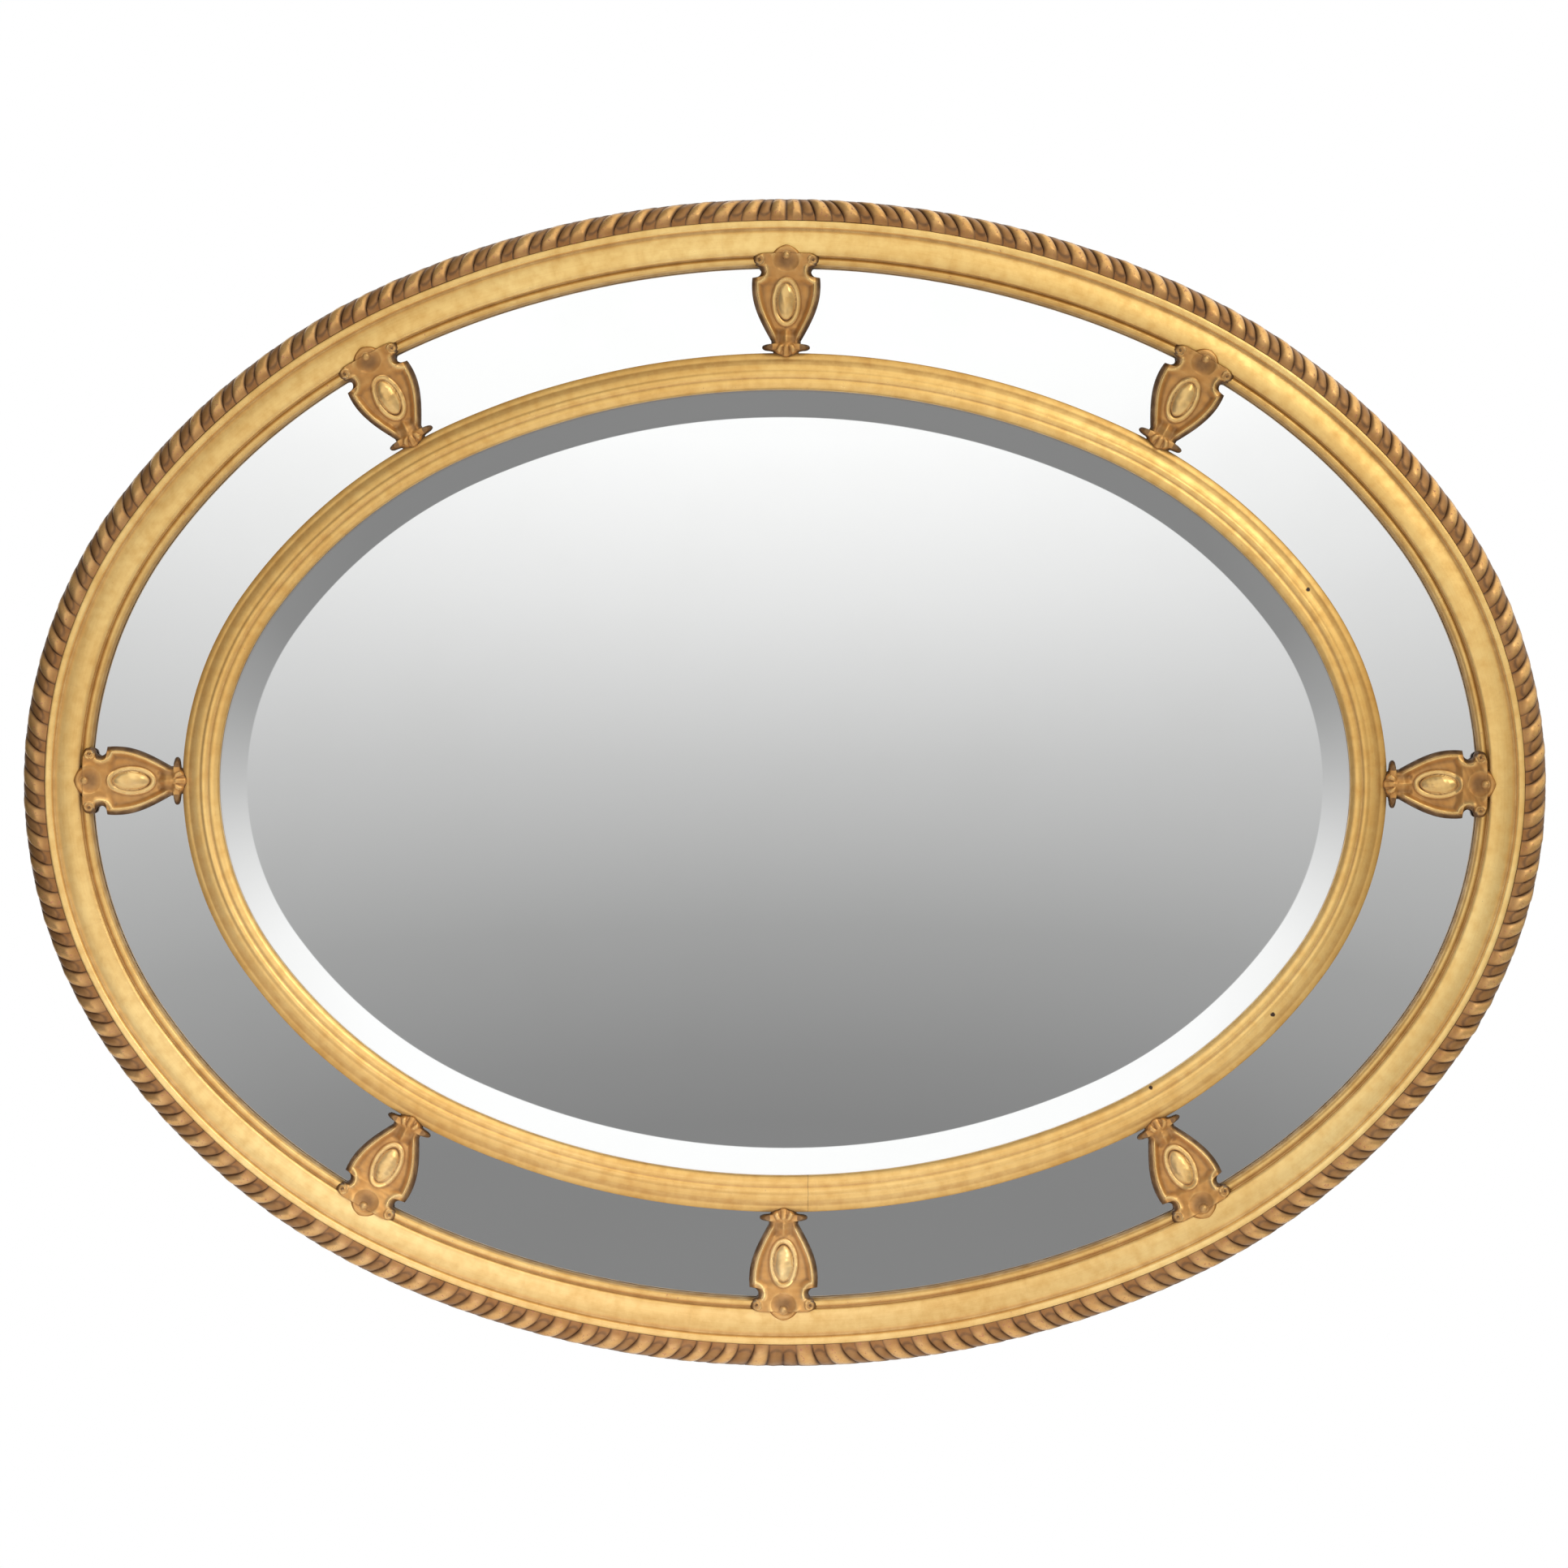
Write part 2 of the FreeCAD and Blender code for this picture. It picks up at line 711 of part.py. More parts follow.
def draw_side(sketch):
    """Side view: the face rises from the foot over the shield to the shell."""
    over = size("clasp_lap")
    outline(sketch, [
        (-size("clasp_base"), -(over + over)),
        (-size("clasp_tip_height"), -(over + over), -size("clasp_foot_height"), size("foot_ear_at")),
        (-size("clasp_waist_height"), size("waist_at"), -size("clasp_middle_height"), size("flank_at")),
        (-size("clasp_shoulder_height"), size("shoulder_at"), -size("clasp_neck_height"), size("neck_at")),
        (-size("clasp_ear_height"), size("ear_at"), -size("clasp_shell_height"), size("shell_at")),
        (-size("clasp_end_height"), size("shell_end_at") + over),
        (-size("clasp_base"), size("shell_end_at") + over),
    ])


def draw_dish(sketch):
    """Side view of what is carved away to sink the field."""
    top = size("clasp_shell_height")
    depth = size("field_depth")
    outline(sketch, [
        (-top, size("waist_at")),
        (-(size("clasp_waist_height") - depth), size("waist_at"),
         -(size("clasp_middle_height") - depth), size("flank_at")),
        (-(size("clasp_shoulder_height") - depth), size("neck_at")),
        (-top, size("neck_at")),
    ])


clasp_plan = prism("clasp_plan", draw_clasp, size("clasp_shell_height"), ZERO)
field_plan = prism("field_plan", draw_field, size("clasp_shell_height"), ZERO)
side_width = size("shoulder_half") * 3
clasp_side = prism("clasp_side", draw_side, side_width, ZERO, "YZ_Plane")
dish_side = prism("dish_side", draw_dish, side_width, ZERO, "YZ_Plane")
for item in (clasp_side, dish_side):
    bind(item, Placement__Base__x=-side_width / 2, Placement__Base__y=-wall_gap)
shield = combine("Part::Common", "shield", clasp_plan, clasp_side)
dish = combine("Part::Common", "dish", field_plan, dish_side)
dished = combine("Part::Cut", "dished", shield, dish)


def solid(kind, label, x, height, at, **sizes):
    """A ball, spindle or ring of the carving, placed across, forwards and outwards."""
    item = doc.addObject(kind, label)
    bind(item, **sizes)
    bind(item, Placement__Base__x=x, Placement__Base__y=-(wall_gap + height), Placement__Base__z=at)
    return item


def spindle(label, x, height, at, wide, deep, long):
    """Ellipsoid with half sizes across, forwards and along."""
    return solid("Part::Ellipsoid", label, x, height, at, Radius1=long, Radius2=wide, Radius3=deep)


# The hood at the outer end is hollow, with a ball in it
hood = spindle("hood", ZERO, size("hood_height"), size("hood_at"), size("hood_wide"), size("hood_deep"),
               size("hood_long"))
hood.Placement = FreeCAD.Placement(hood.Placement.Base, FreeCAD.Rotation(ACROSS, plain(size("hood_tilt"))))
scooped = combine("Part::Cut", "scooped", dished, hood)
carving = [scooped]
carving.append(solid("Part::Sphere", "ball", ZERO, size("ball_height"), size("ball_at"),
                     Radius=size("ball_radius")))
cabochon = spindle("cabochon", ZERO, size("rim_height") + size("cabochon_sink"), size("rim_at"),
                   size("cabochon_width") / 2, size("cabochon_depth") / 2, size("cabochon_length") / 2)
carving.append(cabochon)
# The raised oval rim round the cabochon leans with the field
rim_line = Oval("rim", "rim_length", "rim_width")
rim = new_body("rim")
rim_spine = new_sketch(rim, "rim_spine", "XZ_Plane")
rim_line.draw(rim_spine, ZERO)
rim_section = new_sketch(rim, "rim_section", "XY_Plane")
ties = Ties(rim_section)
wire = rim_section.addGeometry(Part.Circle(spot(rim_line.half_length, 0, 0), spot(0, 0, 1),
                                           plain(size("rim_wire"))), False)
ties.driven(size("rim_wire"), "Radius", wire)
ties.point(wire, 3, rim_line.half_length, ZERO)
ties.apply()
rim_run = rim.newObject("PartDesign::AdditivePipe", "rim_run")
rim_run.Profile = rim_section
rim_run.Spine = (rim_spine, ["Edge%d" % number for number in range(1, 9)])
lean = FreeCAD.Rotation(ACROSS, plain(size("rim_tilt")))
upright = FreeCAD.Rotation(BACKWARD, 90)
rim.Placement = FreeCAD.Placement(spot(0, -(wall_gap + size("rim_height")), size("rim_at")),
                                  lean.multiply(upright))
cabochon.Placement = FreeCAD.Placement(cabochon.Placement.Base, lean)
carving.append(rim)
for side, name in ((1, "right"), (-1, "left")):
    for part, half, at, height, radius, thick in (
            ("volute", "volute_half", "volute_at", "volute_height", "volute_radius", "volute_wire"),
            ("toe", "toe_half", "toe_at", "toe_height", "toe_radius", "toe_wire")):
        scroll = solid("Part::Torus", "%s_%s" % (part, name), size(half) * side, size(height),
                       size(at), Radius1=size(radius), Radius2=size(thick))
        scroll.Placement = FreeCAD.Placement(scroll.Placement.Base, FreeCAD.Rotation(ACROSS, 90))
        carving.append(scroll)
        carving.append(solid("Part::Sphere", "%s_eye_%s" % (part, name), size(half) * side,
                             size(height), size(at), Radius=size(thick)))
# Three flutes of the leaf foot spread from the waist, each with a rounded toe
for number, side in enumerate((-1, 0, 1)):
    at = size("flute_at") if side else size("flute_at") - size("flute_back")
    flute = solid("Part::Cone", "flute_%d" % number, size("flute_side") * side, size("flute_height"), at,
                  Radius1=size("flute_thick"), Radius2=size("flute_thin"), Height=size("flute_long"))
    flute.Placement = FreeCAD.Placement(flute.Placement.Base,
                                        FreeCAD.Rotation(BACKWARD, -side * plain(size("flute_splay"))))
    carving.append(flute)
    carving.append(solid("Part::Sphere", "flute_toe_%d" % number, size("flute_side") * side,
                         size("flute_height"), at, Radius=size("flute_thick")))
doc.recompute()
clasp_blank = gather("Part::MultiFuse", "clasp_blank", carving, "Shapes")
doc.recompute()

# Cartouches are numbered clockwise from the top centre and bedded on both mouldings
bed = gather("Part::Compound", "bed", [frame_blank, inner_blank], "Links")
quarter_turn = math.pi / 2
turns = [quarter_turn, diagonal, 0.0, -diagonal, -quarter_turn, diagonal - math.pi, math.pi,
         math.pi - diagonal]
clasps = []
for number, turn in enumerate(turns, start=1):
    x, z = inner_line.at(turn, 0)
    place = FreeCAD.Placement(spot(x, 0, z), FreeCAD.Rotation(BACKWARD, math.degrees(quarter_turn - turn)))
    copy = link("clasp_copy_%d" % number, clasp_blank, place)
    clasps.append(combine("Part::Cut", "cartouche_%d" % number, copy, bed))


# The gadroon strip: leaning lobes with lower darts between them on a rolled bed, one strip
# to each half. A lobe or dart is one patch, with rows of control points from the edge to the
# fillet; the shares say how much of its rise each control point across it has.
GADROON_COUNT = round(plain(size("gadroon_count")))
PATCH_DEGREE = 3
PATCH_ROWS = 7
LOBE_SHARES = (0.0, 0.8, 1.2, 1.2, 0.8, 0.0)
DART_SHARES = (0.0, 1.3, 1.3, 0.0)


def gadroon_point(cell, cross, rise):
    """Point of the strip's face. cell counts lobes from the top centre, cross runs from the
    outer edge to the fillet, rise is the height of the carving above the rolled bed."""
    pitch = frame_line.half_line() / GADROON_COUNT
    ramp = plain(size("gadroon_lean_ramp"))
    taper = min(1.0, cell / ramp, (GADROON_COUNT - cell) / ramp)
    ease = cross * cross * (3 - 2 * cross)
    run = cell * pitch - plain(size("gadroon_lean")) * taper * (1 - ease)
    lift = cross * quarter_turn
    width = plain(size("gadroon_width") - size("gadroon_glue") - size("gadroon_edge_inset"))
    height = plain(size("gadroon_rise"))
    # The rise stands on the outward normal of the quarter ellipse of the bed
    out, front = math.cos(lift) / width, math.sin(lift) / height
    scale = math.hypot(out, front)
    inset = plain(size("gadroon_edge_inset")) + width * (1 - math.cos(lift)) - rise * out / scale
    up = plain(size("gadroon_seat")) + height * math.sin(lift) + rise * front / scale
    if 0 < cell < GADROON_COUNT:
        x, z = frame_line.at(frame_line.turn_at(run), inset)
        return spot(x, -up, z)
    end_z = plain(frame_line.half_height) - inset
    return spot(0, -up, end_z if cell <= 0 else -end_z)


def gadroon_net(start, end, rise, shares):
    """Control points of one lobe or dart between two grooves."""
    net = []
    for index, share in enumerate(shares):
        cell = start + (end - start) * index / (len(shares) - 1)
        line = []
        for row in range(PATCH_ROWS):
            cross = row / (PATCH_ROWS - 1)
            swell = math.sin(math.pi * cross) ** plain(size("lobe_body_share"))
            line.append(gadroon_point(cell, cross, rise * share * swell))
        net.append(line)
    return net


def even_knots(points):
    """Multiplicities and knots of an evenly divided curve with this many control points."""
    spans = points - PATCH_DEGREE
    counts = [PATCH_DEGREE + 1] + [1] * (spans - 1) + [PATCH_DEGREE + 1]
    return counts, [index / spans for index in range(spans + 1)]


def rail(points):
    """Edge along a row of control points."""
    counts, knots = even_knots(len(points))
    curve = Part.BSplineCurve()
    curve.buildFromPolesMultsKnots(points, counts, knots, False, PATCH_DEGREE)
    return curve.toShape()


def patch(net):
    """Face over a net of control points."""
    counts, knots = even_knots(len(net))
    cross_counts, cross_knots = even_knots(PATCH_ROWS)
    face = Part.BSplineSurface()
    face.buildFromPolesMultsKnots(net, counts, cross_counts, knots, cross_knots, False, False,
                                  PATCH_DEGREE, PATCH_DEGREE)
    return face.toShape()


def gadroon_half():
    """Closed solid of the right-hand strip."""
    split = plain(size("lobe_share"))
    seat = -plain(size("gadroon_seat"))
    faces, rim_edges = [], []
    for cell in range(GADROON_COUNT):
        for start, end, rise, shares in (
                (cell, cell + split, plain(size("lobe_rise")), LOBE_SHARES),
                (cell + split, cell + 1, plain(size("dart_rise")), DART_SHARES)):
            net = gadroon_net(start, end, rise, shares)
            seat_edge = rail([FreeCAD.Vector(line[-1].x, seat, line[-1].z) for line in net])
            faces.append(patch(net))
            faces.append(Part.makeRuledSurface(rail([line[-1] for line in net]), seat_edge))
            rim_edges += [rail([line[0] for line in net]), seat_edge]
            for at_end, line in ((start == 0, net[0]), (end == GADROON_COUNT, net[-1])):
                if at_end:
                    corner = FreeCAD.Vector(0, seat, line[-1].z)
                    floor_edge = Part.makeLine(corner, line[0])
                    end_wire = Part.Wire([rail(line), Part.makeLine(line[-1], corner), floor_edge])
                    faces.append(Part.Face(end_wire))
                    rim_edges.append(floor_edge)
    faces.append(Part.Face(Part.Wire(Part.__sortEdges__(rim_edges))))
    shell = Part.makeShell(faces)
    shell.sewShape(plain(size("seam")))
    strip = Part.makeSolid(Part.Shell(shell.Faces))
    if strip.Volume < 0:
        strip.reverse()
    return strip


gadroon_right = doc.addObject("Part::Feature", "gadroon_right")
gadroon_right.Label = "gadroon_right"
gadroon_right.Shape = gadroon_half()
gadroon_right.Placement = FreeCAD.Placement(spot(0, -wall_gap, 0), FreeCAD.Rotation())
gadroon_left = mirrored("gadroon_left", gadroon_right, ACROSS)


# Screws: a countersunk one for the backboards and a domed one for the hangers
def turned(label, corners):
    """Body turned about the Y axis. Corners give the radius and the depth forwards."""
    body = new_body(label)
    sketch = new_sketch(body, label + "_half", "XY_Plane")
    placed = []
    for corner in corners:
        point = [corner[0], -corner[1]]
        if len(corner) == 4:
            point += [corner[2], -corner[3]]
        placed.append(tuple(point))
    outline(sketch, placed)
    turn = body.newObject("PartDesign::Revolution", label + "_turn")
    turn.Profile = sketch
    turn.ReferenceAxis = (sketch, ["V_Axis"])
    turn.Angle = 360
    return body


def slotted(label, screw, head, top):
    """Cut the driver's slot across a screw head."""
    blade = doc.addObject("Part::Box", label + "_blade")
    bind(blade, Length=head + head, Width=size("screw_slot_depth") + size("screw_slot_depth"),
         Height=size("screw_slot"), Placement__Base__x=-head,
         Placement__Base__y=top - size("screw_slot_depth"), Placement__Base__z=-size("screw_slot") / 2)
    return combine("Part::Cut", label, screw, blade)


head_radius = size("screw_head") / 2
shank_radius = size("screw_shank") / 2
play = size("screw_play")
board_screw = slotted("board_screw", turned("board_screw_blank", [
    (ZERO, ZERO), (head_radius, ZERO), (shank_radius, size("screw_head_depth")),
    (shank_radius, size("screw_length") - size("screw_tip")), (ZERO, size("screw_length"))]),
    size("screw_head"), ZERO)
board_hole = turned("board_hole", [
    (ZERO, -play), (head_radius + play, -play), (head_radius + play, ZERO),
    (shank_radius + play, size("screw_head_depth")),
    (shank_radius + play, size("screw_length") + size("screw_pilot")),
    (ZERO, size("screw_length") + size("screw_pilot"))])
dome_radius = size("dome_head") / 2
dome_screw = slotted("dome_screw", turned("dome_screw_blank", [
    (ZERO, -size("dome_depth"),
     dome_radius * size("dome_crown_share"), -size("dome_depth") * size("dome_crown_share")),
    (dome_radius, ZERO), (shank_radius, ZERO), (shank_radius, size("dome_length") - size("screw_tip")),
    (ZERO, size("dome_length"))]), size("dome_head"), size("dome_depth"))
dome_hole = turned("dome_hole", [
    (ZERO, ZERO), (shank_radius + play, ZERO),
    (shank_radius + play, size("dome_length") + size("screw_pilot")),
    (ZERO, size("dome_length") + size("screw_pilot"))])


def place_on_back(x, z, height):
    """Placement with its origin at a height above the frame's back."""
    return FreeCAD.Placement(spot(x, -(plain(wall_gap) + plain(height)), z), FreeCAD.Rotation())


# The back is closed by four boards side by side in the outer rebate
panel_inset = board_wall + size("board_play")
board_height = (frame_line.half_height - panel_inset) / 2
# Each quarter has screws in an outer board, at shares of the half width that its joint has,
# and in a middle board, at shares of its height
OUTER_BOARD_SHARES = (1 / 6, 1 / 2, 5 / 6)
MIDDLE_BOARD_SHARES = (1 / 4, 3 / 4)
OUTER_RING_SHARES = (1 / 2,)
MIDDLE_RING_SHARES = (1 / 4, 3 / 4)


def screw_row(label, oval, inset, outer_shares, middle_shares):
    """Countersunk screws round an oval, and the holes for them."""
    joint_width = oval.at(oval.turn_where(1, board_height, inset), inset)[0]
    turns = [oval.turn_where(0, joint_width * share, inset) for share in outer_shares]
    turns += [oval.turn_where(1, board_height * share, inset) for share in middle_shares]
    screws, holes = [], []
    for turn in turns:
        x, z = oval.at(turn, inset)
        for across, up in ((x, z), (x, -z), (-x, -z), (-x, z)):
            place = place_on_back(across, up, glass_back - size("board_thickness"))
            number = len(screws) + 1
            screws.append(link("%s_%d" % (label, number), board_screw, place))
            holes.append(link("%s_hole_%d" % (label, number), board_hole, place))
    return (gather("Part::Compound", label, screws, "Links"),
            gather("Part::Compound", label + "_holes", holes, "Links"))


ledge_middle = board_wall + size("board_screw_inset")
board_screws, board_holes = screw_row("backboard_screws", frame_line, ledge_middle,
                                      OUTER_BOARD_SHARES, MIDDLE_BOARD_SHARES)
tongue_middle = size("tongue_start") + size("tongue_width") / 2
ring_screws, ring_holes = screw_row("inner_moulding_screws", inner_line, tongue_middle,
                                    OUTER_RING_SHARES, MIDDLE_RING_SHARES)

# Strap hangers on the back of the frame, one to each side, leaning in towards the centre
loop_inner = size("ring_wire") / 2 + size("strap_loop_play")
loop_outer = loop_inner + size("strap_thickness")
EIGHTH_TURN_SHARE = math.cos(math.pi / 4)


def draw_strap(sketch):
    """Plan of the strap; its upper end is the loop's axis."""
    half, corner = size("strap_width") / 2, size("strap_corner")
    low = -size("strap_length")
    bow = corner * (1 - EIGHTH_TURN_SHARE)
    outline(sketch, [
        (half, loop_outer), (-half, loop_outer), (-half, low + corner, -half + bow, low + bow),
        (-half + corner, low), (half - corner, low, half - bow, low + bow), (half, low + corner)])


def draw_loop(sketch):
    """Side view of the strap: a flat plate rolled over into a loop round the ring's bar."""
    thick = size("strap_thickness")
    outline(sketch, [
        (ZERO, -size("strap_length")), (thick, -size("strap_length")),
        (thick, -(loop_outer + loop_outer / 2)),
        (thick + thick / 2, -loop_outer, loop_outer + loop_outer, ZERO),
        (loop_outer, loop_outer, loop_outer * (1 - EIGHTH_TURN_SHARE), loop_outer * EIGHTH_TURN_SHARE),
        (ZERO, ZERO)])


def draw_eye(sketch):
    ties = Ties(sketch)
    eye = sketch.addGeometry(Part.Circle(spot(loop_outer, 0, 0), spot(0, 0, 1), plain(loop_inner)), False)
    ties.driven(loop_inner, "Radius", eye)
    ties.point(eye, 3, loop_outer, ZERO)
    ties.apply()


strap_side = prism("strap_side", draw_loop, size("strap_width") + play, ZERO, "YZ_Plane")
bind(strap_side, Placement__Base__x=-(size("strap_width") + play) / 2)
strap_eye = prism("strap_eye", draw_eye, size("strap_width") * 2, ZERO, "YZ_Plane")
bind(strap_eye, Placement__Base__x=-size("strap_width"))
strap_plan = new_body("strap_plan")
strap_sketch = new_sketch(strap_plan, "strap_plan_outline", "XZ_Plane")
draw_strap(strap_sketch)
strap_pad = strap_plan.newObject("PartDesign::Pad", "strap_plan_pad")
strap_pad.Profile = strap_sketch
strap_pad.Reversed = True
bind(strap_pad, Length=loop_outer * 3)
strap_rolled = combine("Part::Common", "strap_rolled", strap_plan, strap_side)
strap_holes = []
for name in ("strap_first_hole", "strap_second_hole"):
    hole = doc.addObject("Part::Cylinder", name + "_bore")
    bind(hole, Radius=size("strap_hole") / 2, Height=loop_outer * 2, Placement__Base__z=-size(name),
         Placement__Base__y=loop_outer)
    hole.Placement = FreeCAD.Placement(hole.Placement.Base, FreeCAD.Rotation(ACROSS, 90))
    strap_holes.append(hole)
strap = combine("Part::Cut", "strap", strap_rolled,
                gather("Part::Compound", "strap_cuts", [strap_eye] + strap_holes, "Links"))

# The ring: a bar through the strap's loop, two legs and a bow, hanging down over the strap
ring = new_body("ring")
ring_spine = new_sketch(ring, "ring_spine", "XZ_Plane")
wire_half = size("ring_wire") / 2
leg_x = size("ring_inside") / 2 + wire_half
bend = size("ring_corner")
bend_in = bend * (1 - EIGHTH_TURN_SHARE)
bow_z = -(bend + size("ring_leg"))
outline(ring_spine, [
    (-leg_x + bend, ZERO), (leg_x - bend, ZERO, leg_x - bend_in, -bend_in), (leg_x, -bend),
    (leg_x, bow_z, ZERO, bow_z - leg_x), (-leg_x, bow_z), (-leg_x, -bend, -leg_x + bend_in, -bend_in)])
ring_section = new_sketch(ring, "ring_section", "YZ_Plane")
ties = Ties(ring_section)
wire = ring_section.addGeometry(Part.Circle(spot(0, 0, 0), spot(0, 0, 1), plain(wire_half)), False)
ties.driven(wire_half, "Radius", wire)
ties.point(wire, 3, ZERO, ZERO)
ties.apply()
ring_run = ring.newObject("PartDesign::AdditivePipe", "ring_run")
ring_run.Profile = ring_section
ring_run.Spine = (ring_spine, ["Edge%d" % number for number in range(1, 7)])

hanger_turn = math.radians(plain(size("hanger_turn")))
hanger_x, hanger_z = frame_line.at(hanger_turn, size("hanger_inset"))
lean_in = FreeCAD.Rotation(BACKWARD, -plain(size("hanger_turn")))
on_back = FreeCAD.Placement(spot(hanger_x, -wall_gap, hanger_z), lean_in)
at_loop = FreeCAD.Placement(spot(hanger_x, loop_outer - wall_gap, hanger_z), lean_in)
hanger_screws, hanger_holes = [], []
strap_right = link("strap_right_copy", strap, on_back)
ring_right = link("ring_right_copy", ring, at_loop)
for name in ("strap_first_hole", "strap_second_hole"):
    step = lean_in.multVec(spot(0, 0, -size(name)))
    for side in (1, -1):
        x, z = side * (hanger_x + step.x), hanger_z + step.z
        place = place_on_back(x, z, -size("strap_thickness"))
        hanger_screws.append(link("dome_%s_%d" % (name, side), dome_screw, place))
        hanger_holes.append(link("dome_hole_%s_%d" % (name, side), dome_hole, place))
hanger_screw_group = gather("Part::Compound", "hanger_screws", hanger_screws, "Links")
hanger_hole_group = gather("Part::Compound", "hanger_holes", hanger_holes, "Links")
hanger_strap_right = gather("Part::Compound", "hanger_strap_right", [strap_right], "Links")
hanger_ring_right = gather("Part::Compound", "hanger_ring_right", [ring_right], "Links")
hanger_strap_left = mirrored("hanger_strap_left", hanger_strap_right, ACROSS)
hanger_ring_left = mirrored("hanger_ring_left", hanger_ring_right, ACROSS)

# Wall bumpers low down on the back keep the mirror parallel to the wall
bumper = turned("bumper", [
    (ZERO, -wall_gap), (size("bumper_radius") - size("bumper_edge"), -wall_gap),
    (size("bumper_radius"), -wall_gap + size("bumper_edge")), (size("bumper_radius"), ZERO), (ZERO, ZERO)])
bumper_x, bumper_z = frame_line.at(-math.radians(plain(size("bumper_turn"))), size("hanger_inset"))
bumpers = []
for side, name in ((1, "right"), (-1, "left")):
    copy = link("bumper_%s_copy" % name, bumper, place_on_back(side * bumper_x, bumper_z, 0))
    bumpers.append(gather("Part::Compound", "wall_bumper_%s" % name, [copy], "Links"))

# Holes are cut last, so that mouldings and boards share the same screw positions
frame_holes = gather("Part::Compound", "frame_holes", [board_holes, hanger_hole_group], "Links")
outer_frame = combine("Part::Cut", "outer_frame", frame_blank, frame_holes)
inner_moulding = combine("Part::Cut", "inner_moulding", inner_blank, ring_holes)

panel = prism("panel", lambda sketch: frame_line.draw(sketch, panel_inset), size("board_thickness"),
              glass_back - size("board_thickness"))
panel_holes = gather("Part::Compound", "panel_holes", [board_holes, ring_holes], "Links")
bored_panel = combine("Part::Cut", "bored_panel", panel, panel_holes)
boards = []
for number, lower in enumerate((1, 0, -1, -2), start=1):
    plank = doc.addObject("Part::Box", "plank_%d" % number)
    bind(plank, Length=size("frame_length"), Width=size("board_thickness") * 3,
         Height=board_height - size("board_gap"), Placement__Base__x=-size("frame_length") / 2,
         Placement__Base__y=-(wall_gap + size("board_thickness") * 2),
         Placement__Base__z=board_height * lower + size("board_gap") / 2)
    boards.append(combine("Part::Common", "backboard_%d" % number, bored_panel, plank))

doc.recompute()
nodes = [outer_frame, gadroon_right, gadroon_left, inner_moulding, centre_plate]
nodes += [plates[number] for number in range(1, 9)]
nodes += clasps
nodes += boards
nodes += [board_screws, ring_screws, hanger_screw_group]
nodes += [hanger_strap_right, hanger_strap_left, hanger_ring_right, hanger_ring_left]
nodes += bumpers

for item in doc.Objects:
    if "Invalid" in item.State or "Error" in item.State:
        raise RuntimeError("%s did not build: %s" % (item.Label, item.State))
os.makedirs("parts", exist_ok=True)
for item in nodes:
    shape = item.Shape
    if shape.isNull() or not shape.isValid():
        raise RuntimeError("%s has no sound shape" % item.Label)
    box = shape.optimalBoundingBox(False)
    print(item.Label, len(shape.Solids), "solids", len(shape.Faces), "faces", round(shape.Volume),
          [round(number, 2) for number in (box.XMin, box.XMax, box.YMin, box.YMax, box.ZMin, box.ZMax)])
    shape.exportStep("parts/%s.step" % item.Label)
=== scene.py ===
# %% [markdown]
# # A gilt oval wall mirror
# This lesson dresses the solids of an oval wall mirror: a bevelled plate in a reeded moulding, a ring of
# mirror plates round it, carved cartouches over their joints and a gadrooned outer edge. The solids are
# loaded first and fix every place and size. The carved and gilded pieces are then worked out again as
# fine surfaces with numpy, because gesso, leaf and hand carving need rounder edges than a solid has.

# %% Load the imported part
import math
import bpy
import numpy as np
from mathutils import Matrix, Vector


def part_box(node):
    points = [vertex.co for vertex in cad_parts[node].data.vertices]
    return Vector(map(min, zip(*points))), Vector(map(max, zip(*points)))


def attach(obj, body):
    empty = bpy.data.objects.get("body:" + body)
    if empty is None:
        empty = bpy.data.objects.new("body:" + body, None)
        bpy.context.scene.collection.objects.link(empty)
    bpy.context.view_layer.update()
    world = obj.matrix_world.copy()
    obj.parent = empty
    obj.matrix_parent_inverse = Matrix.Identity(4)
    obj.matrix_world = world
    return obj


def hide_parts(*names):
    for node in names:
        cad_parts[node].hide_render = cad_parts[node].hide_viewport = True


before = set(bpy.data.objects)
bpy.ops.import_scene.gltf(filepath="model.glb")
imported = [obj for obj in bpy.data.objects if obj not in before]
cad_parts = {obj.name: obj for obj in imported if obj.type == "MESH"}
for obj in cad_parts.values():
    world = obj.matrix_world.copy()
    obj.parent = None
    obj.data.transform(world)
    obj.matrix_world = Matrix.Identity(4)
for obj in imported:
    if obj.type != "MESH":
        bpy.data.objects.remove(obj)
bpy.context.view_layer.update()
MM = 0.001

# %% [markdown]
# ## The oval
# The frame is no true ellipse. Its maker drew it with a compass, as eight arcs that meet without a kink:
# two at the ends, two along the sides and four shoulders between. An offset of such a line is again made
# of arcs, so a moulding can be carried round it with the same section everywhere. A point is found from
# the turn of its normal: the arc's centre plus the arc's radius along that normal.

# %% The oval as arrays
END_TURN = math.radians(36.0)
SIDE_TURN = math.radians(66.0)
QUARTER = math.pi / 2
SIDE_INSET = 2.0
WALL_GAP = -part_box("outer_frame")[1].y / MM


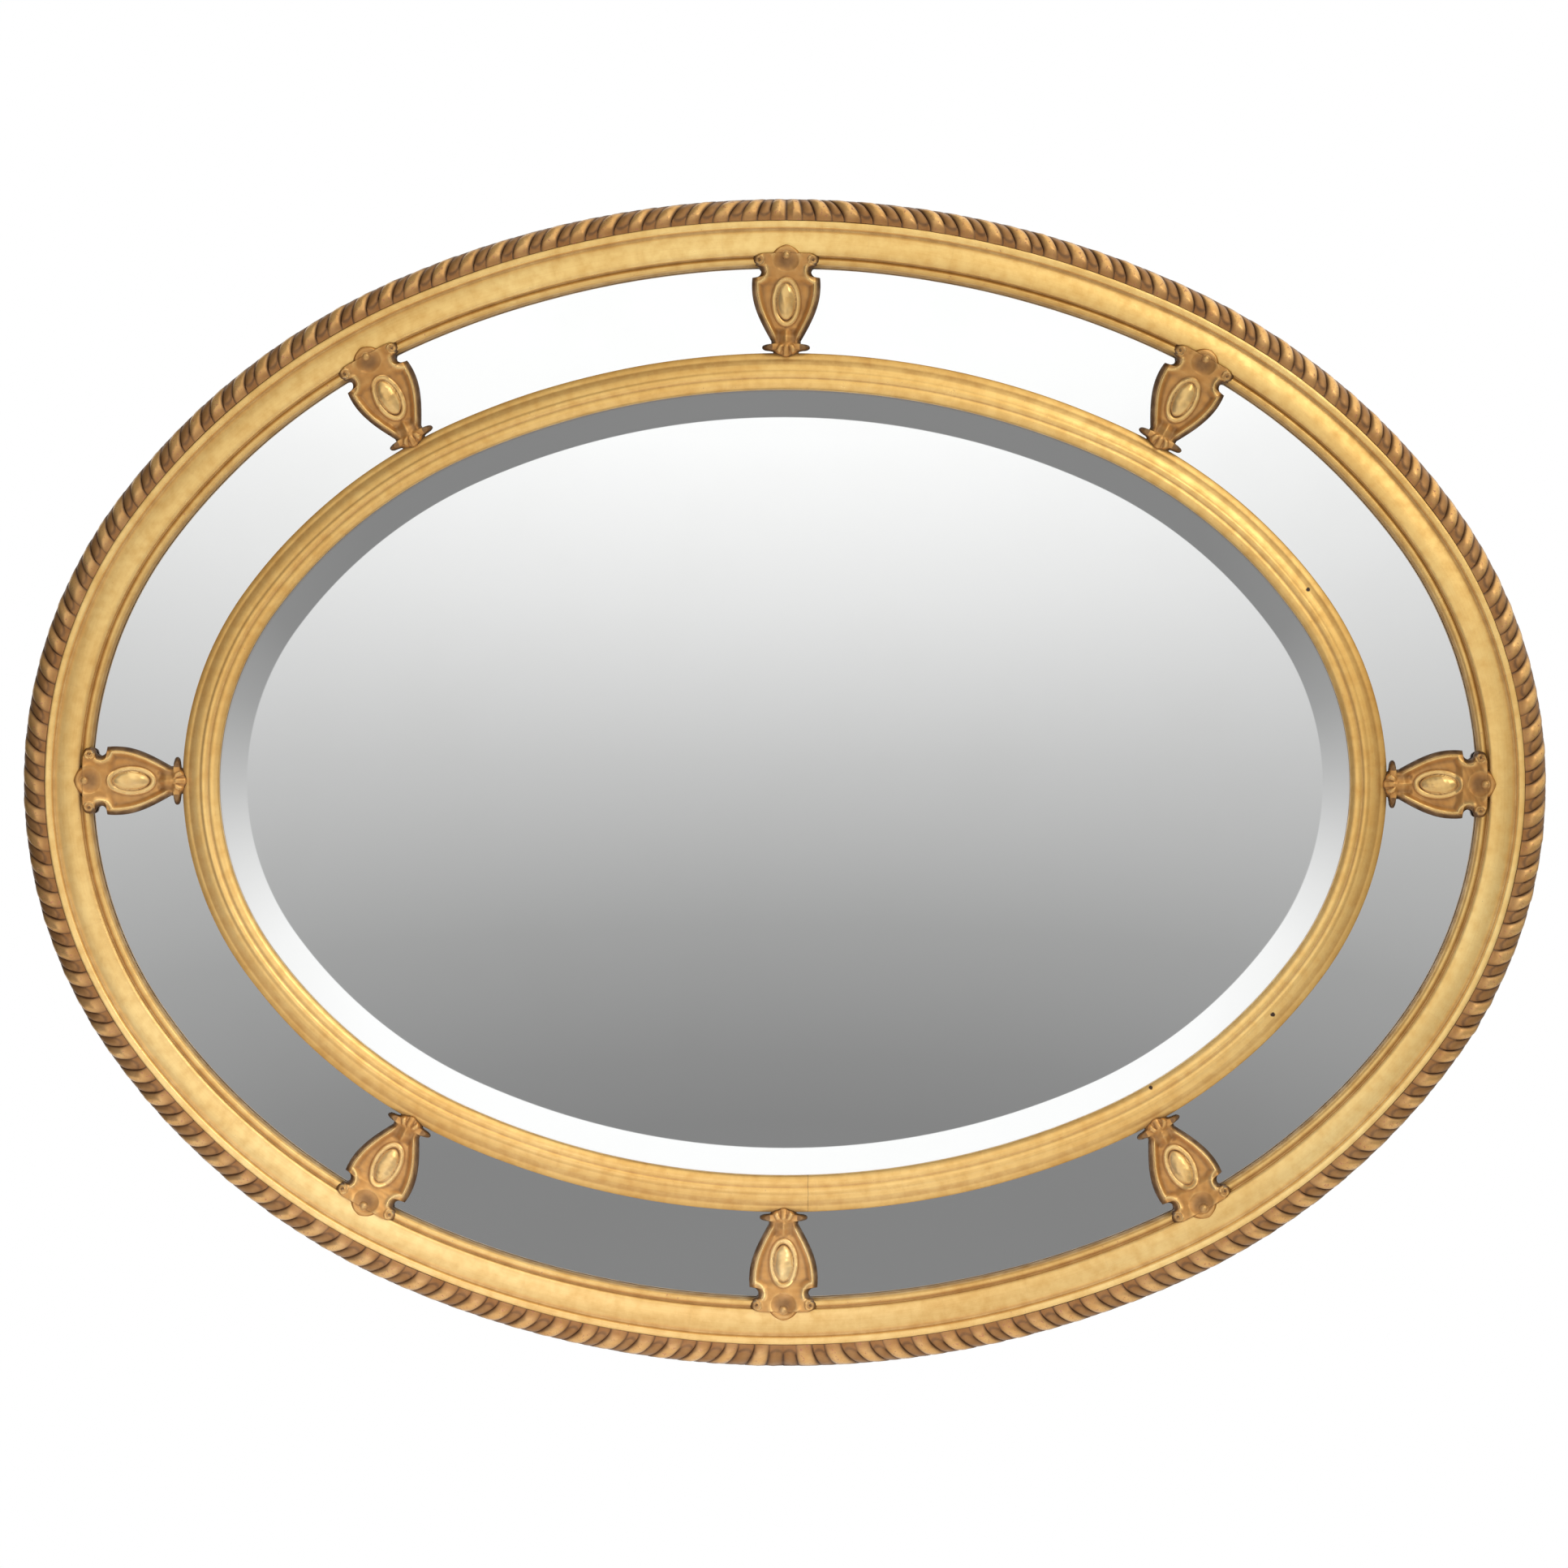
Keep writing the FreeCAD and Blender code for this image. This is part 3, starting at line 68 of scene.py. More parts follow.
def oval(half_length, half_height):
    """Centres and radii of the arcs, in millimetres. The shoulder has the ellipse's own curvature at the
    middle of its turn; the end and side radii then follow from the two half axes."""
    middle = (END_TURN + SIDE_TURN) / 2
    spread = (half_length * math.cos(middle)) ** 2 + (half_height * math.sin(middle)) ** 2
    shoulder = (half_length * half_height) ** 2 / spread ** 1.5
    end_x, end_z = math.cos(END_TURN), math.sin(END_TURN)
    side_x, side_z = math.cos(SIDE_TURN), math.sin(SIDE_TURN)
    across = half_length - shoulder * (end_x - side_x)
    up = half_height - shoulder * (side_z - end_z)
    scale = (1 - end_x) * (1 - side_z) - side_x * end_z
    end = (across * (1 - side_z) - side_x * up) / scale
    side = ((1 - end_x) * up - end_z * across) / scale
    line = {"radii": np.array([end, shoulder, side])}
    line["centre_x"] = np.array([half_length - end, half_length - end + (end - shoulder) * end_x, 0.0])
    line["centre_z"] = np.array([0.0, (end - shoulder) * end_z, half_height - side])
    # Turns at which one arc gives way to the next, clockwise from the top centre, and the run up to each
    order = [2, 1, 0, 1, 2, 1, 0, 1, 2]
    turns = np.array([QUARTER, SIDE_TURN, END_TURN, -END_TURN, -SIDE_TURN, SIDE_TURN - math.pi,
                      END_TURN - math.pi, -END_TURN - math.pi, -SIDE_TURN - math.pi, -3 * QUARTER])
    line["turns"] = turns
    line["runs"] = np.append(0.0, np.cumsum(line["radii"][order] * -np.diff(turns)))
    return line


def turn_at(line, run):
    """Turn of the normal after a run clockwise from the top centre. On an arc the turn is the run over
    the radius, so it is linear between the ends of the arcs."""
    return np.interp(run, line["runs"], line["turns"])


def place(line, turn, inset, height):
    """Points in metres: the arc's centre plus (radius less inset) along the normal, and the height
    towards the viewer from the frame's back."""
    turn, inset, height = np.broadcast_arrays(turn, inset, height)
    cosine, sine = np.cos(turn), np.sin(turn)
    lift = np.arctan2(np.abs(sine), np.abs(cosine))
    arc = np.where(lift <= END_TURN, 0, np.where(lift < SIDE_TURN, 1, 2))
    reach = line["radii"][arc] - inset
    x = np.sign(cosine) * line["centre_x"][arc] + reach * cosine
    z = np.sign(sine) * line["centre_z"][arc] + reach * sine
    return np.stack([x, -(WALL_GAP + height), z], axis=-1) * MM


frame_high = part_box("outer_frame")[1] / MM
inner_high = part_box("inner_moulding")[1] / MM
frame_line = oval(frame_high.x + SIDE_INSET, frame_high.z + SIDE_INSET)
inner_line = oval(inner_high.x, inner_high.z)
FRAME_RUN = frame_line["runs"][-1]
for name, line in (("Frame", frame_line), ("Inner", inner_line)):
    print(name, "arcs", line["radii"].round(1), "mm, run", round(line["runs"][-1]), "mm")

# %% [markdown]
# ## From arrays to a mesh
# Every new piece is a grid of points. Neighbouring points make quads, and a grid that closes on itself
# joins its last line to its first. The helper also stores what the finishes read: a map of run and
# section in metres, and one number per point for glaze and painted shade in hollows, for crests, and for
# burnishing and painted highlight. A closed piece with a negative volume is inside out, so its corners are
# then taken in the other order.

# %% Mesh helpers
CREASE = 32.0


def add_object(name, data):
    """A new object in the scene, at the origin."""
    made = bpy.data.objects.new(name, data)
    bpy.context.scene.collection.objects.link(made)
    return made


def make_mesh(name, points, corners, sizes, materials, faces_material, uv, sharp=CREASE, **values):
    """A mesh object from points, the corners of all faces in one row and the corner count of each face.
    values are one number per point. Edges that turn by more than sharp degrees stay sharp."""
    starts = np.append(0, np.cumsum(sizes)[:-1])
    fan = np.repeat(corners[starts], sizes - 2)
    second = np.delete(corners, np.append(starts, starts + sizes - 1))
    third = np.delete(corners, np.append(starts, starts + 1))
    volume = np.einsum("ij,ij->", points[fan], np.cross(points[second], points[third])) / 6
    if volume < 0:
        order = np.repeat(2 * starts + sizes - 1, sizes) - np.arange(len(corners))
        corners = corners[order]
        uv = None if uv is None else uv[order]
    mesh = bpy.data.meshes.new(name)
    mesh.vertices.add(len(points))
    mesh.vertices.foreach_set("co", points.astype(np.float32).ravel())
    mesh.loops.add(len(corners))
    mesh.loops.foreach_set("vertex_index", corners.astype(np.int32))
    mesh.polygons.add(len(sizes))
    mesh.polygons.foreach_set("loop_start", starts.astype(np.int32))
    for material in materials:
        mesh.materials.append(material)
    mesh.polygons.foreach_set("material_index", faces_material.astype(np.int32))
    mesh.update(calc_edges=True)
    mesh.polygons.foreach_set("use_smooth", np.ones(len(sizes), dtype=bool))
    mesh.set_sharp_from_angle(angle=math.radians(sharp))
    if uv is not None:
        mesh.uv_layers.new(name="run_and_section").data.foreach_set("uv", uv.astype(np.float32).ravel())
    for key, value in values.items():
        layer = mesh.attributes.new(key, "FLOAT", "POINT")
        layer.data.foreach_set("value", value.astype(np.float32).ravel())
    mesh.validate()
    print(name, len(points), "points,", int((sizes - 2).sum()), "triangles, volume",
          round(abs(volume) * 1e6, 1), "cm3")
    return add_object(name, mesh)


def loft(name, points, materials, caps=None, column_material=None, uv=None, **values):
    """A closed section carried along a path: rows of the grid follow the path, columns the section, and
    four neighbours make a quad. The path closes on itself, unless caps gives the materials of its ends."""
    rows, columns = points.shape[:2]
    row, column = np.meshgrid(np.arange(rows - (caps is not None)), np.arange(columns), indexing="ij")
    row = np.stack([row, row + 1, row + 1, row], axis=-1).reshape(-1, 4)
    column = np.stack([column, column, column + 1, column + 1], axis=-1).reshape(-1, 4)
    corners = ((row % rows) * columns + column % columns).ravel()
    sizes = np.full(len(row), 4)
    faces_material = np.zeros(len(row)) if column_material is None else column_material[column[:, 0]]
    uv = None if uv is None else uv[row, column].reshape(-1, 2)
    if caps is not None:
        first = np.arange(columns)
        last = (rows - 1) * columns + first[::-1]
        corners = np.hstack([corners, first, last])
        sizes = np.append(sizes, [columns, columns])
        faces_material = np.append(faces_material, caps)
    points = points.reshape(-1, 3)
    return make_mesh(name, points, corners, sizes, materials, faces_material, uv, **values)


def stand_for(piece, node):
    """The piece takes the place of a CAD node on the body of the mirror."""
    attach(piece, "mirror")
    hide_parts(node)
    return piece


# %% [markdown]
# ## Small tools for hand-made forms
# Carving and gesso are never even. A few sine waves with seeded phases give a soft unevenness that is the
# same on each run. A running mean tells how far a point lies below its neighbours, which is where toning
# and dirt gather and where shade is painted, or above them, which is where hands and dusters rub the leaf
# through and where the carving gets painted highlight.

# %% Unevenness, steps and relief
WAVES, WAVE_SUM = 6, 3.2
SHORTEST, LONGEST = 0.6, 1.6


def ease(low, high, value):
    """Zero up to low, one from high on and the cubic 3q2 - 2q3 between; falling if high is below low."""
    share = np.clip((value - low) / (high - low), 0, 1)
    return share * share * (3 - 2 * share)


def between(low, high, value, soft=4.0):
    """One from low to high, with soft steps inside both ends."""
    return ease(low, low + soft, value) * ease(high, high - soft, value)


def dome(share):
    """A round bump: the root of one less the square of the share, and nothing beyond one."""
    return np.sqrt(np.clip(1 - share ** 2, 0, 1))


def bell(value, at, half):
    """A soft bump round at: e to the power of minus the square of the distance over half."""
    return np.exp(-((value - at) / half) ** 2)


def unevenness(seed, wavelength, *coordinates):
    """Sum of a few sine waves in seeded directions, scaled to about -1 to 1."""
    chance = np.random.default_rng(seed)
    total = 0
    for _ in range(WAVES):
        direction = chance.normal(size=len(coordinates))
        length = wavelength * chance.uniform(SHORTEST, LONGEST)
        direction = direction / np.linalg.norm(direction) * 2 * math.pi / length
        phase = chance.uniform(0, 2 * math.pi)
        total = total + np.sin(sum(rate * at for rate, at in zip(direction, coordinates)) + phase)
    return total / WAVE_SUM


def running_mean(values, reach, axis):
    """Mean over a point and its neighbours on both sides, as the difference of two running sums."""
    padding = [(0, 0)] * values.ndim
    padding[axis] = (reach + 1, reach)
    total = np.cumsum(np.pad(values, padding, mode="edge"), axis=axis)
    size = values.shape[axis]
    upper = np.take(total, np.arange(size) + 2 * reach + 1, axis=axis)
    lower = np.take(total, np.arange(size), axis=axis)
    return (upper - lower) / (2 * reach + 1)


def relief(height, reach, depth):
    """Shares from 0 to 1 of how far each point lies below and above the mean of its neighbours."""
    mean = height
    for axis in range(height.ndim):
        mean = running_mean(running_mean(mean, reach, axis), reach, axis)
    return np.clip((mean - height) / depth, 0, 1), np.clip((height - mean) / depth, 0, 1)


# %% [markdown]
# ## Node materials
# All finishes are node trees. This small class keeps them short: it makes nodes, sets their sockets from
# numbers or links, and has a word for each common step. Patterns read Object coordinates in metres, which
# are the same on every piece because all pieces sit at the origin, or the piece's own map and attributes.

# %% A material under construction
def colour(code):
    """Linear colour with alpha from a hexadecimal code."""
    parts = np.array([int(code[at:at + 2], 16) for at in (1, 3, 5)]) / 255
    linear = np.where(parts > 0.04045, ((parts + 0.055) / 1.055) ** 2.4, parts / 12.92)
    return (*linear.tolist(), 1.0)


class Finish:
    """A node material with its main shader and short words for the usual nodes."""

    def __init__(self, name):
        self.material = bpy.data.materials.new(name)
        self.material.use_nodes = True
        self.tree = self.material.node_tree
        self.shader = self.tree.nodes["Principled BSDF"]
        self.place = self.node("ShaderNodeTexCoord").outputs["Object"]

    def node(self, kind, inputs=None, **settings):
        """A new node with settings, and inputs given by name or number as values or sockets."""
        made = self.tree.nodes.new(kind)
        for key, value in settings.items():
            setattr(made, key, value)
        for key, value in (inputs or {}).items():
            self.feed(made.inputs[key], value)
        return made

    def feed(self, socket, value):
        """Link a socket, or set its own value, which may be a colour's code."""
        if isinstance(value, bpy.types.NodeSocket):
            self.tree.links.new(value, socket)
        else:
            socket.default_value = colour(value) if isinstance(value, str) else value

    def shade(self, **values):
        """Feed sockets of the main shader, named with underscores for spaces."""
        for key, value in values.items():
            self.feed(self.shader.inputs[key.replace("_", " ")], value)

    def stretched(self, scale, offset=(0, 0, 0), source=None):
        """The coordinates scaled along each axis and moved."""
        inputs = {"Vector": source or self.place, "Scale": scale, "Location": offset}
        return self.node("ShaderNodeMapping", inputs).outputs["Vector"]

    def noise(self, scale, detail=3.0, source=None, roughness=0.55):
        """Cloudy noise from 0 to 1; scale counts features per metre."""
        inputs = {"Vector": source or self.place, "Scale": scale, "Detail": detail, "Roughness": roughness}
        return self.node("ShaderNodeTexNoise", inputs).outputs["Fac"]

    def spread(self, value, low, high, to_low=0.0, to_high=1.0):
        """Carry a range of values to another one, held at its ends."""
        inputs = {"Value": value, "From Min": low, "From Max": high, "To Min": to_low, "To Max": to_high}
        return self.node("ShaderNodeMapRange", inputs).outputs["Result"]

    def math(self, operation, first, second=0.0, third=0.0):
        """One arithmetic step."""
        inputs = {0: first, 1: second, 2: third}
        return self.node("ShaderNodeMath", inputs, operation=operation).outputs["Value"]

    def away(self, x, z):
        """Distance from a place on the face, seen from the front."""
        inputs = {0: self.stretched((1, 0, 1)), 1: (x, 0, z)}
        return self.node("ShaderNodeVectorMath", inputs, operation="DISTANCE").outputs["Value"]

    def mix(self, share, first, second, blend="MIX"):
        """Blend of two colours."""
        inputs = {0: share, 6: first, 7: second}
        return self.node("ShaderNodeMix", inputs, data_type="RGBA", blend_type=blend).outputs[2]

    def parts(self, vector):
        """The three numbers of a vector."""
        return self.node("ShaderNodeSeparateXYZ", {0: vector}).outputs

    def run_map(self):
        """The piece's own map: run and section in metres."""
        return self.node("ShaderNodeUVMap", uv_map="run_and_section").outputs["UV"]

    def attribute(self, name):
        """A number stored on the piece's points."""
        return self.node("ShaderNodeAttribute", attribute_name=name).outputs["Fac"]

    def bump(self, height, distance, strength, normal=None):
        """A normal tilted by a height, in metres for a height of one."""
        inputs = {"Height": height, "Distance": distance, "Strength": strength}
        if normal is not None:
            inputs["Normal"] = normal
        return self.node("ShaderNodeBump", inputs).outputs["Normal"]


# %% [markdown]
# ## Gilding
# The wood is coated with gesso and red clay called bole, then laid with leaf. Burnished places shine, the
# rest is toned with size and stays brown and soft. The finish mixes toned and burnished leaf by the
# piece's share of burnishing, which on carved crests also stands for painted highlight, lets the clay
# show where crests are rubbed and darkens the hollows with old glaze and painted shade. Clay, glaze and
# painted shade are no metal, so they take the metallic share down. A painted yellow would need less, but
# it would not shift with the light as leaf does.

# %% Chips and a crack
BOLE = "#94573a"
DEEP_GLAZE = "#2e1c0c"
LEAF_WIDTH, LAP_WIDTH = 0.076, 0.0011
CLOUDS, MOTTLES, SPECKS = 6.0, 95.0, 420.0
BRUSH_LINES = (14, 700, 1)
BARE_FROM, BARE_STEP, BARE_CLAY = 0.78, 0.08, 0.2
CRACK_WANDER, CRACK_TOP, CRACK_DARK = 0.003, 0.04, 0.5


def old_damage(finish, speck, mottle, nicks, crack):
    """Shares of dark chips at given places and of a hair-thin split across the run. The edge of a chip is
    its distance made ragged by specks, and the split wanders with the mottle."""
    marks = []
    for x, z, radius in nicks:
        ragged = finish.math("MULTIPLY_ADD", speck, radius, finish.away(x, z))
        marks.append(finish.spread(ragged, radius * 1.6, radius * 1.2))
    for x, z, half in crack:
        spot = finish.parts(finish.place)
        wander = finish.math("MULTIPLY_ADD", mottle, CRACK_WANDER, spot["X"])
        beside = finish.math("ABSOLUTE", finish.math("SUBTRACT", wander, x + CRACK_WANDER / 2))
        split = finish.spread(beside, half, 2 * half, CRACK_DARK, 0.0)
        below = finish.spread(spot["Z"], z + 0.75 * CRACK_TOP, z + CRACK_TOP, 1.0, 0.0)
        marks.append(finish.math("MULTIPLY", split, below))
    return marks


# %% The gilded finishes
def gilding(name, toned, burnished, glaze, rough, smooth, clay_share, glaze_and_shade_share, mapped=False, nicks=(),
            crack=()):
    """Leaf over bole. toned and burnished are its two colours, rough and smooth their roughness,
    clay_share how much clay shows and glaze_and_shade_share how dark the old glaze and painted shade in
    the hollows are. On carved crests the burnished colour also stands for painted highlight. mapped pieces
    have laps of leaf and brush lines along their run."""
    finish = Finish(name)
    burnish, hollow, crest = (finish.attribute(key) for key in ("burnish", "hollow", "crest"))
    cloud = finish.noise(CLOUDS, 4.0)
    mottle = finish.noise(MOTTLES, 5.0)
    speck = finish.noise(SPECKS, 4.0)
    leaf = finish.mix(burnish, toned, burnished)
    leaf = finish.mix(finish.spread(cloud, 0.35, 0.7, 0.0, 0.5), leaf, "#e6cfa6", "MULTIPLY")
    leaf = finish.mix(finish.spread(mottle, 0.4, 0.75, 0.0, 0.5), leaf, "#dec498", "MULTIPLY")
    rubbed = finish.math("MULTIPLY_ADD", crest, 0.10, speck)
    bare = BARE_FROM - clay_share * BARE_CLAY
    clay = finish.spread(rubbed, bare, bare + BARE_STEP, 0.0, 0.7)
    leaf = finish.mix(clay, leaf, BOLE)
    # Old glaze and painted shade in the hollows, broken up by the mottle
    glaze_and_shade_mix = finish.spread(mottle, 0.25, 0.6, 0.7 * glaze_and_shade_share, glaze_and_shade_share)
    glaze_and_shade_mix = finish.math("MULTIPLY", hollow, glaze_and_shade_mix)
    normal = finish.bump(speck, 0.0003, 0.3)
    if mapped:
        run = finish.run_map()
        brushed = finish.noise(1.0, 4.0, finish.stretched(BRUSH_LINES, source=run))
        normal = finish.bump(brushed, 0.0002, 0.1, normal)
        along = finish.math("MULTIPLY_ADD", mottle, 0.006, finish.parts(run)["X"])
        lap = finish.math("PINGPONG", along, LEAF_WIDTH / 2)
        leaf = finish.mix(finish.spread(lap, 0.0, LAP_WIDTH, 0.05, 0.0), leaf, BOLE)
        leaf = finish.mix(finish.spread(brushed, 0.45, 0.8, 0.0, 0.15), leaf, "#d4b07a", "MULTIPLY")
    leaf = finish.mix(glaze_and_shade_mix, leaf, glaze)
    dull = finish.math("MAXIMUM", clay, glaze_and_shade_mix)
    for mark in old_damage(finish, speck, mottle, nicks, crack):
        leaf = finish.mix(mark, leaf, DEEP_GLAZE)
        dull = finish.math("MAXIMUM", dull, mark)
    gloss = finish.spread(burnish, 0.0, 1.0, rough, smooth)
    gloss = finish.math("ADD", gloss, finish.spread(mottle, 0.3, 0.8, -0.04, 0.10))
    finish.shade(Base_Color=leaf, Metallic=finish.spread(dull, 0.0, 1.0, 0.7, 0.2),
                 Roughness=finish.math("MULTIPLY_ADD", dull, 0.2, gloss), Normal=normal)
    return finish.material


# %% Four kinds of gilding
NICKS = ((0.3126, -0.2591, 0.0020), (0.4166, -0.1967, 0.0022), (0.4457, 0.1658, 0.0020))
CRACK = ((0.0208, -0.35, 0.00022),)
outer_gilding = gilding("burnished_moulding", "#d3ab60", "#f0cf82", "#8a6228", rough=0.42, smooth=0.31,
                        clay_share=0.25, glaze_and_shade_share=0.7, mapped=True)
inner_gilding = gilding("reeded_moulding", "#cfa559", "#eec776", "#855c26", rough=0.42, smooth=0.31,
                        clay_share=0.35, glaze_and_shade_share=0.8, mapped=True, nicks=NICKS, crack=CRACK)
gadroon_gilding = gilding("worn_gadroon", "#94683a", "#e2b570", "#2e1d0c", rough=0.46, smooth=0.28,
                          clay_share=0.5, glaze_and_shade_share=0.9)
carving_gilding = gilding("toned_carving", "#c2914f", "#ecce86", "#33200f", rough=0.40, smooth=0.14,
                          clay_share=0.35, glaze_and_shade_share=0.9)
for made in (outer_gilding, inner_gilding, gadroon_gilding, carving_gilding):
    print("Finish", made.name, "of", len(made.node_tree.nodes), "nodes")

# %% [markdown]
# ## Bare wood
# The back of the frame and the boards were never gilded. Pine has pale early wood and brown late wood in
# bands along the board, fine fibres, and a grey-brown bloom of age. Bands come from a wave that runs
# across the grain and is bent by noise; the coordinates are squeezed so that all is drawn out along it.

# %% The wooden finish
def bare_wood(name, pale, dark, along_map=False, seed=0.0):
    """Aged wood with its grain along X, or along the run of a mapped piece. seed moves the pattern, so
    that each board is its own plank."""
    finish = Finish(name)
    source = finish.run_map() if along_map else finish.place
    squeeze = (1.0, 14.0, 1.0) if along_map else (0.7, 9.0, 9.0)
    grain = finish.stretched(squeeze, (seed, seed * 1.7, seed * 0.6), source)
    inputs = {"Vector": grain, "Scale": 1.1, "Distortion": 7.0, "Detail": 3.0, "Detail Scale": 1.4}
    direction = "Y" if along_map else "Z"
    bands = finish.node("ShaderNodeTexWave", inputs, bands_direction=direction).outputs["Fac"]
    fibres = finish.noise(26.0, 6.0, finish.stretched((1.0, 5.0, 5.0), source=grain))
    bloom = finish.noise(5.0, 3.0)
    wood = finish.mix(finish.spread(bands, 0.3, 0.95, 0.0, 0.8), pale, dark)
    wood = finish.mix(finish.spread(fibres, 0.35, 0.75, 0.0, 0.55), wood, "#6d4c2c", "MULTIPLY")
    wood = finish.mix(finish.spread(bloom, 0.4, 0.75, 0.0, 0.45), wood, "#7d6a52")
    height = finish.math("ADD", fibres, finish.math("MULTIPLY", bands, 0.6))
    finish.shade(Base_Color=wood, Roughness=finish.spread(fibres, 0.2, 0.8, 0.62, 0.85),
                 Normal=finish.bump(height, 0.0006, 0.5))
    return finish.material


ochre_wood = bare_wood("ochre_washed_back", "#b08a55", "#8a6236", along_map=True)
print("Finish", ochre_wood.name, "of", len(ochre_wood.node_tree.nodes), "nodes")

# %% [markdown]
# ## The outer frame
# From the gadrooned edge inwards the section has a fillet, a sunk quirk, a broad cushion, a second quirk
# and a bead beside the glass. Behind them are a seat for the glass and one for the boards. The section is
# drawn once as straight edges and arcs and then carried round the oval. The front is sampled finely and
# averaged a little along its line, as coats of gesso round every corner; the back keeps its corners.

# %% Sections of lines and arcs
def arc_points(start, via, end, step):
    """Points about one step apart on the circle through three points, whose centre is equally far from
    all."""
    start, via, end = (np.array(point, float) for point in (start, via, end))
    rows = np.array([via - start, end - start])
    centre = np.linalg.solve(2 * rows, [via @ via - start @ start, end @ end - start @ start])
    radius = np.linalg.norm(start - centre)
    angles = np.unwrap([math.atan2(*(point - centre)[::-1]) for point in (start, via, end)])
    count = max(int(round(abs(angles[2] - angles[0]) * radius / step)), 2)
    angle = np.linspace(angles[0], angles[2], count, endpoint=False)
    return centre + radius * np.stack([np.cos(angle), np.sin(angle)], axis=-1)


def section_line(corners, step):
    """Points along edges between corners (w, h); a corner (w, h, via_w, via_h) starts an arc."""
    parts = []
    for corner, after in zip(corners, corners[1:]):
        if len(corner) == 4:
            parts.append(arc_points(corner[:2], corner[2:], after[:2], step))
            continue
        length = math.dist(corner[:2], after[:2])
        share = np.linspace(0, 1, max(int(round(length / step)), 1), endpoint=False)[:, None]
        parts.append(np.array(corner[:2]) * (1 - share) + np.array(after[:2]) * share)
    parts.append(np.array([corners[-1][:2]]))
    return np.concatenate(parts)


def softened(line, reach):
    """The line averaged over its neighbours, with both ends kept."""
    return running_mean(running_mean(line, reach, 0), reach, 0)


# %% A section carried round an oval
WAVE_COUNTS = (7, 12, 19, 31)
WAVE_TWIST, WAVE_SHIFT, WAVE_ASIDE = 0.11, 1.7, 0.6
WORN_REACH, WORN_LEAST = 12.0, 0.35


def carry_round(name, line, front, back, rows, sway, worn_at, shade_band, materials):
    """Front and back of a section, given as (inset, height), carried round an oval. Low waves of about
    sway make the front a little uneven along its run. The leaf is least burnished about the inset worn_at.
    Old glaze and painted shade lie in the creases of the section, and painted shade lies in a band,
    glazed: its two insets and its share."""
    section = np.concatenate([front, back])
    length = line["runs"][-1]
    run = np.arange(rows) / rows * length
    worked = np.pad(np.ones(len(front)), (0, len(back)))
    worked[[0, len(front) - 1]] = 0
    angle = (2 * math.pi * run / length)[:, None]
    across = section[:, 0][None, :]
    wave = sum(np.sin(angle * count + across * WAVE_TWIST * (-1) ** count + count * WAVE_SHIFT)
               for count in WAVE_COUNTS)
    height = section[:, 1][None, :] + worked * sway * wave
    inset = across + worked * sway * WAVE_ASIDE * np.roll(wave, rows // 5, axis=0)
    points = place(line, turn_at(line, run)[:, None], inset, height)
    steps = np.diff(section, axis=0, append=section[:1])
    girth = np.append(0, np.cumsum(np.linalg.norm(steps, axis=1)))
    uv = np.stack(np.meshgrid(np.append(run, length), girth, indexing="ij"), axis=-1) * MM
    # Old glaze and painted shade in the creases, and a band of painted shade
    hollow, crest = relief(front[:, 1], 3, 0.5)
    start, end, thick = shade_band
    band = ease(start, start + 0.8, front[:, 0]) * ease(end + 1.6, end, front[:, 0])
    hollow = np.maximum(hollow, thick * band)
    hollow, crest = (np.tile(np.pad(part, (0, len(back))), (rows, 1)) for part in (hollow, crest))
    far = ease(0.0, WORN_REACH, np.abs(section[:, 0] - worn_at))
    burnish = worked * (WORN_LEAST + (1 - WORN_LEAST) * far)
    burnish = burnish * (0.75 + 0.25 * np.sin(angle * 3 + across * 0.05))
    column_material = np.append(np.zeros(len(front) - 1), np.ones(len(back) + 1))
    return loft(name, points, materials, column_material=column_material, uv=uv, hollow=hollow,
                crest=crest, burnish=burnish)


# %% The outer frame, fillet to bead
GADROON_SEAT = 12.0
FILLET_START, FILLET_END, FILLET_TOP = 20.0, 26.0, 37.0
QUIRK_FOOT, QUIRK_END, QUIRK_FLOOR = 27.0, 27.8, 31.6
CUSHION_RISE = (36.0, 34.3)
CUSHION_CROWN = (46.4, 35.4)
CUSHION_FALL = (48.6, 34.9)
CUSHION_END, CUSHION_FOOT = 50.0, 33.8
BEAD_START, BEAD_FLOOR = 51.2, 28.7
BEAD_CROWN = (54.6, 31.0)
BEAD_END, BEAD_FOOT = 57.2, 28.6
SIGHT, SIGHT_TOP = 59.0, 22.0
GLASS_SEAT, GLASS_BACK = 14.0, 10.0
GLASS_WALL, BOARD_WALL = 45.0, 30.0
FILLET_CROWN = 0.5
FRONT_STEP = 0.6
FRAME_ROWS, FRAME_SWAY = 620, 0.07
# Painted shade on the slope from the bead down to the sight edge
SIGHT_SHADE = (BEAD_END, SIGHT + 1.0, 1.0)

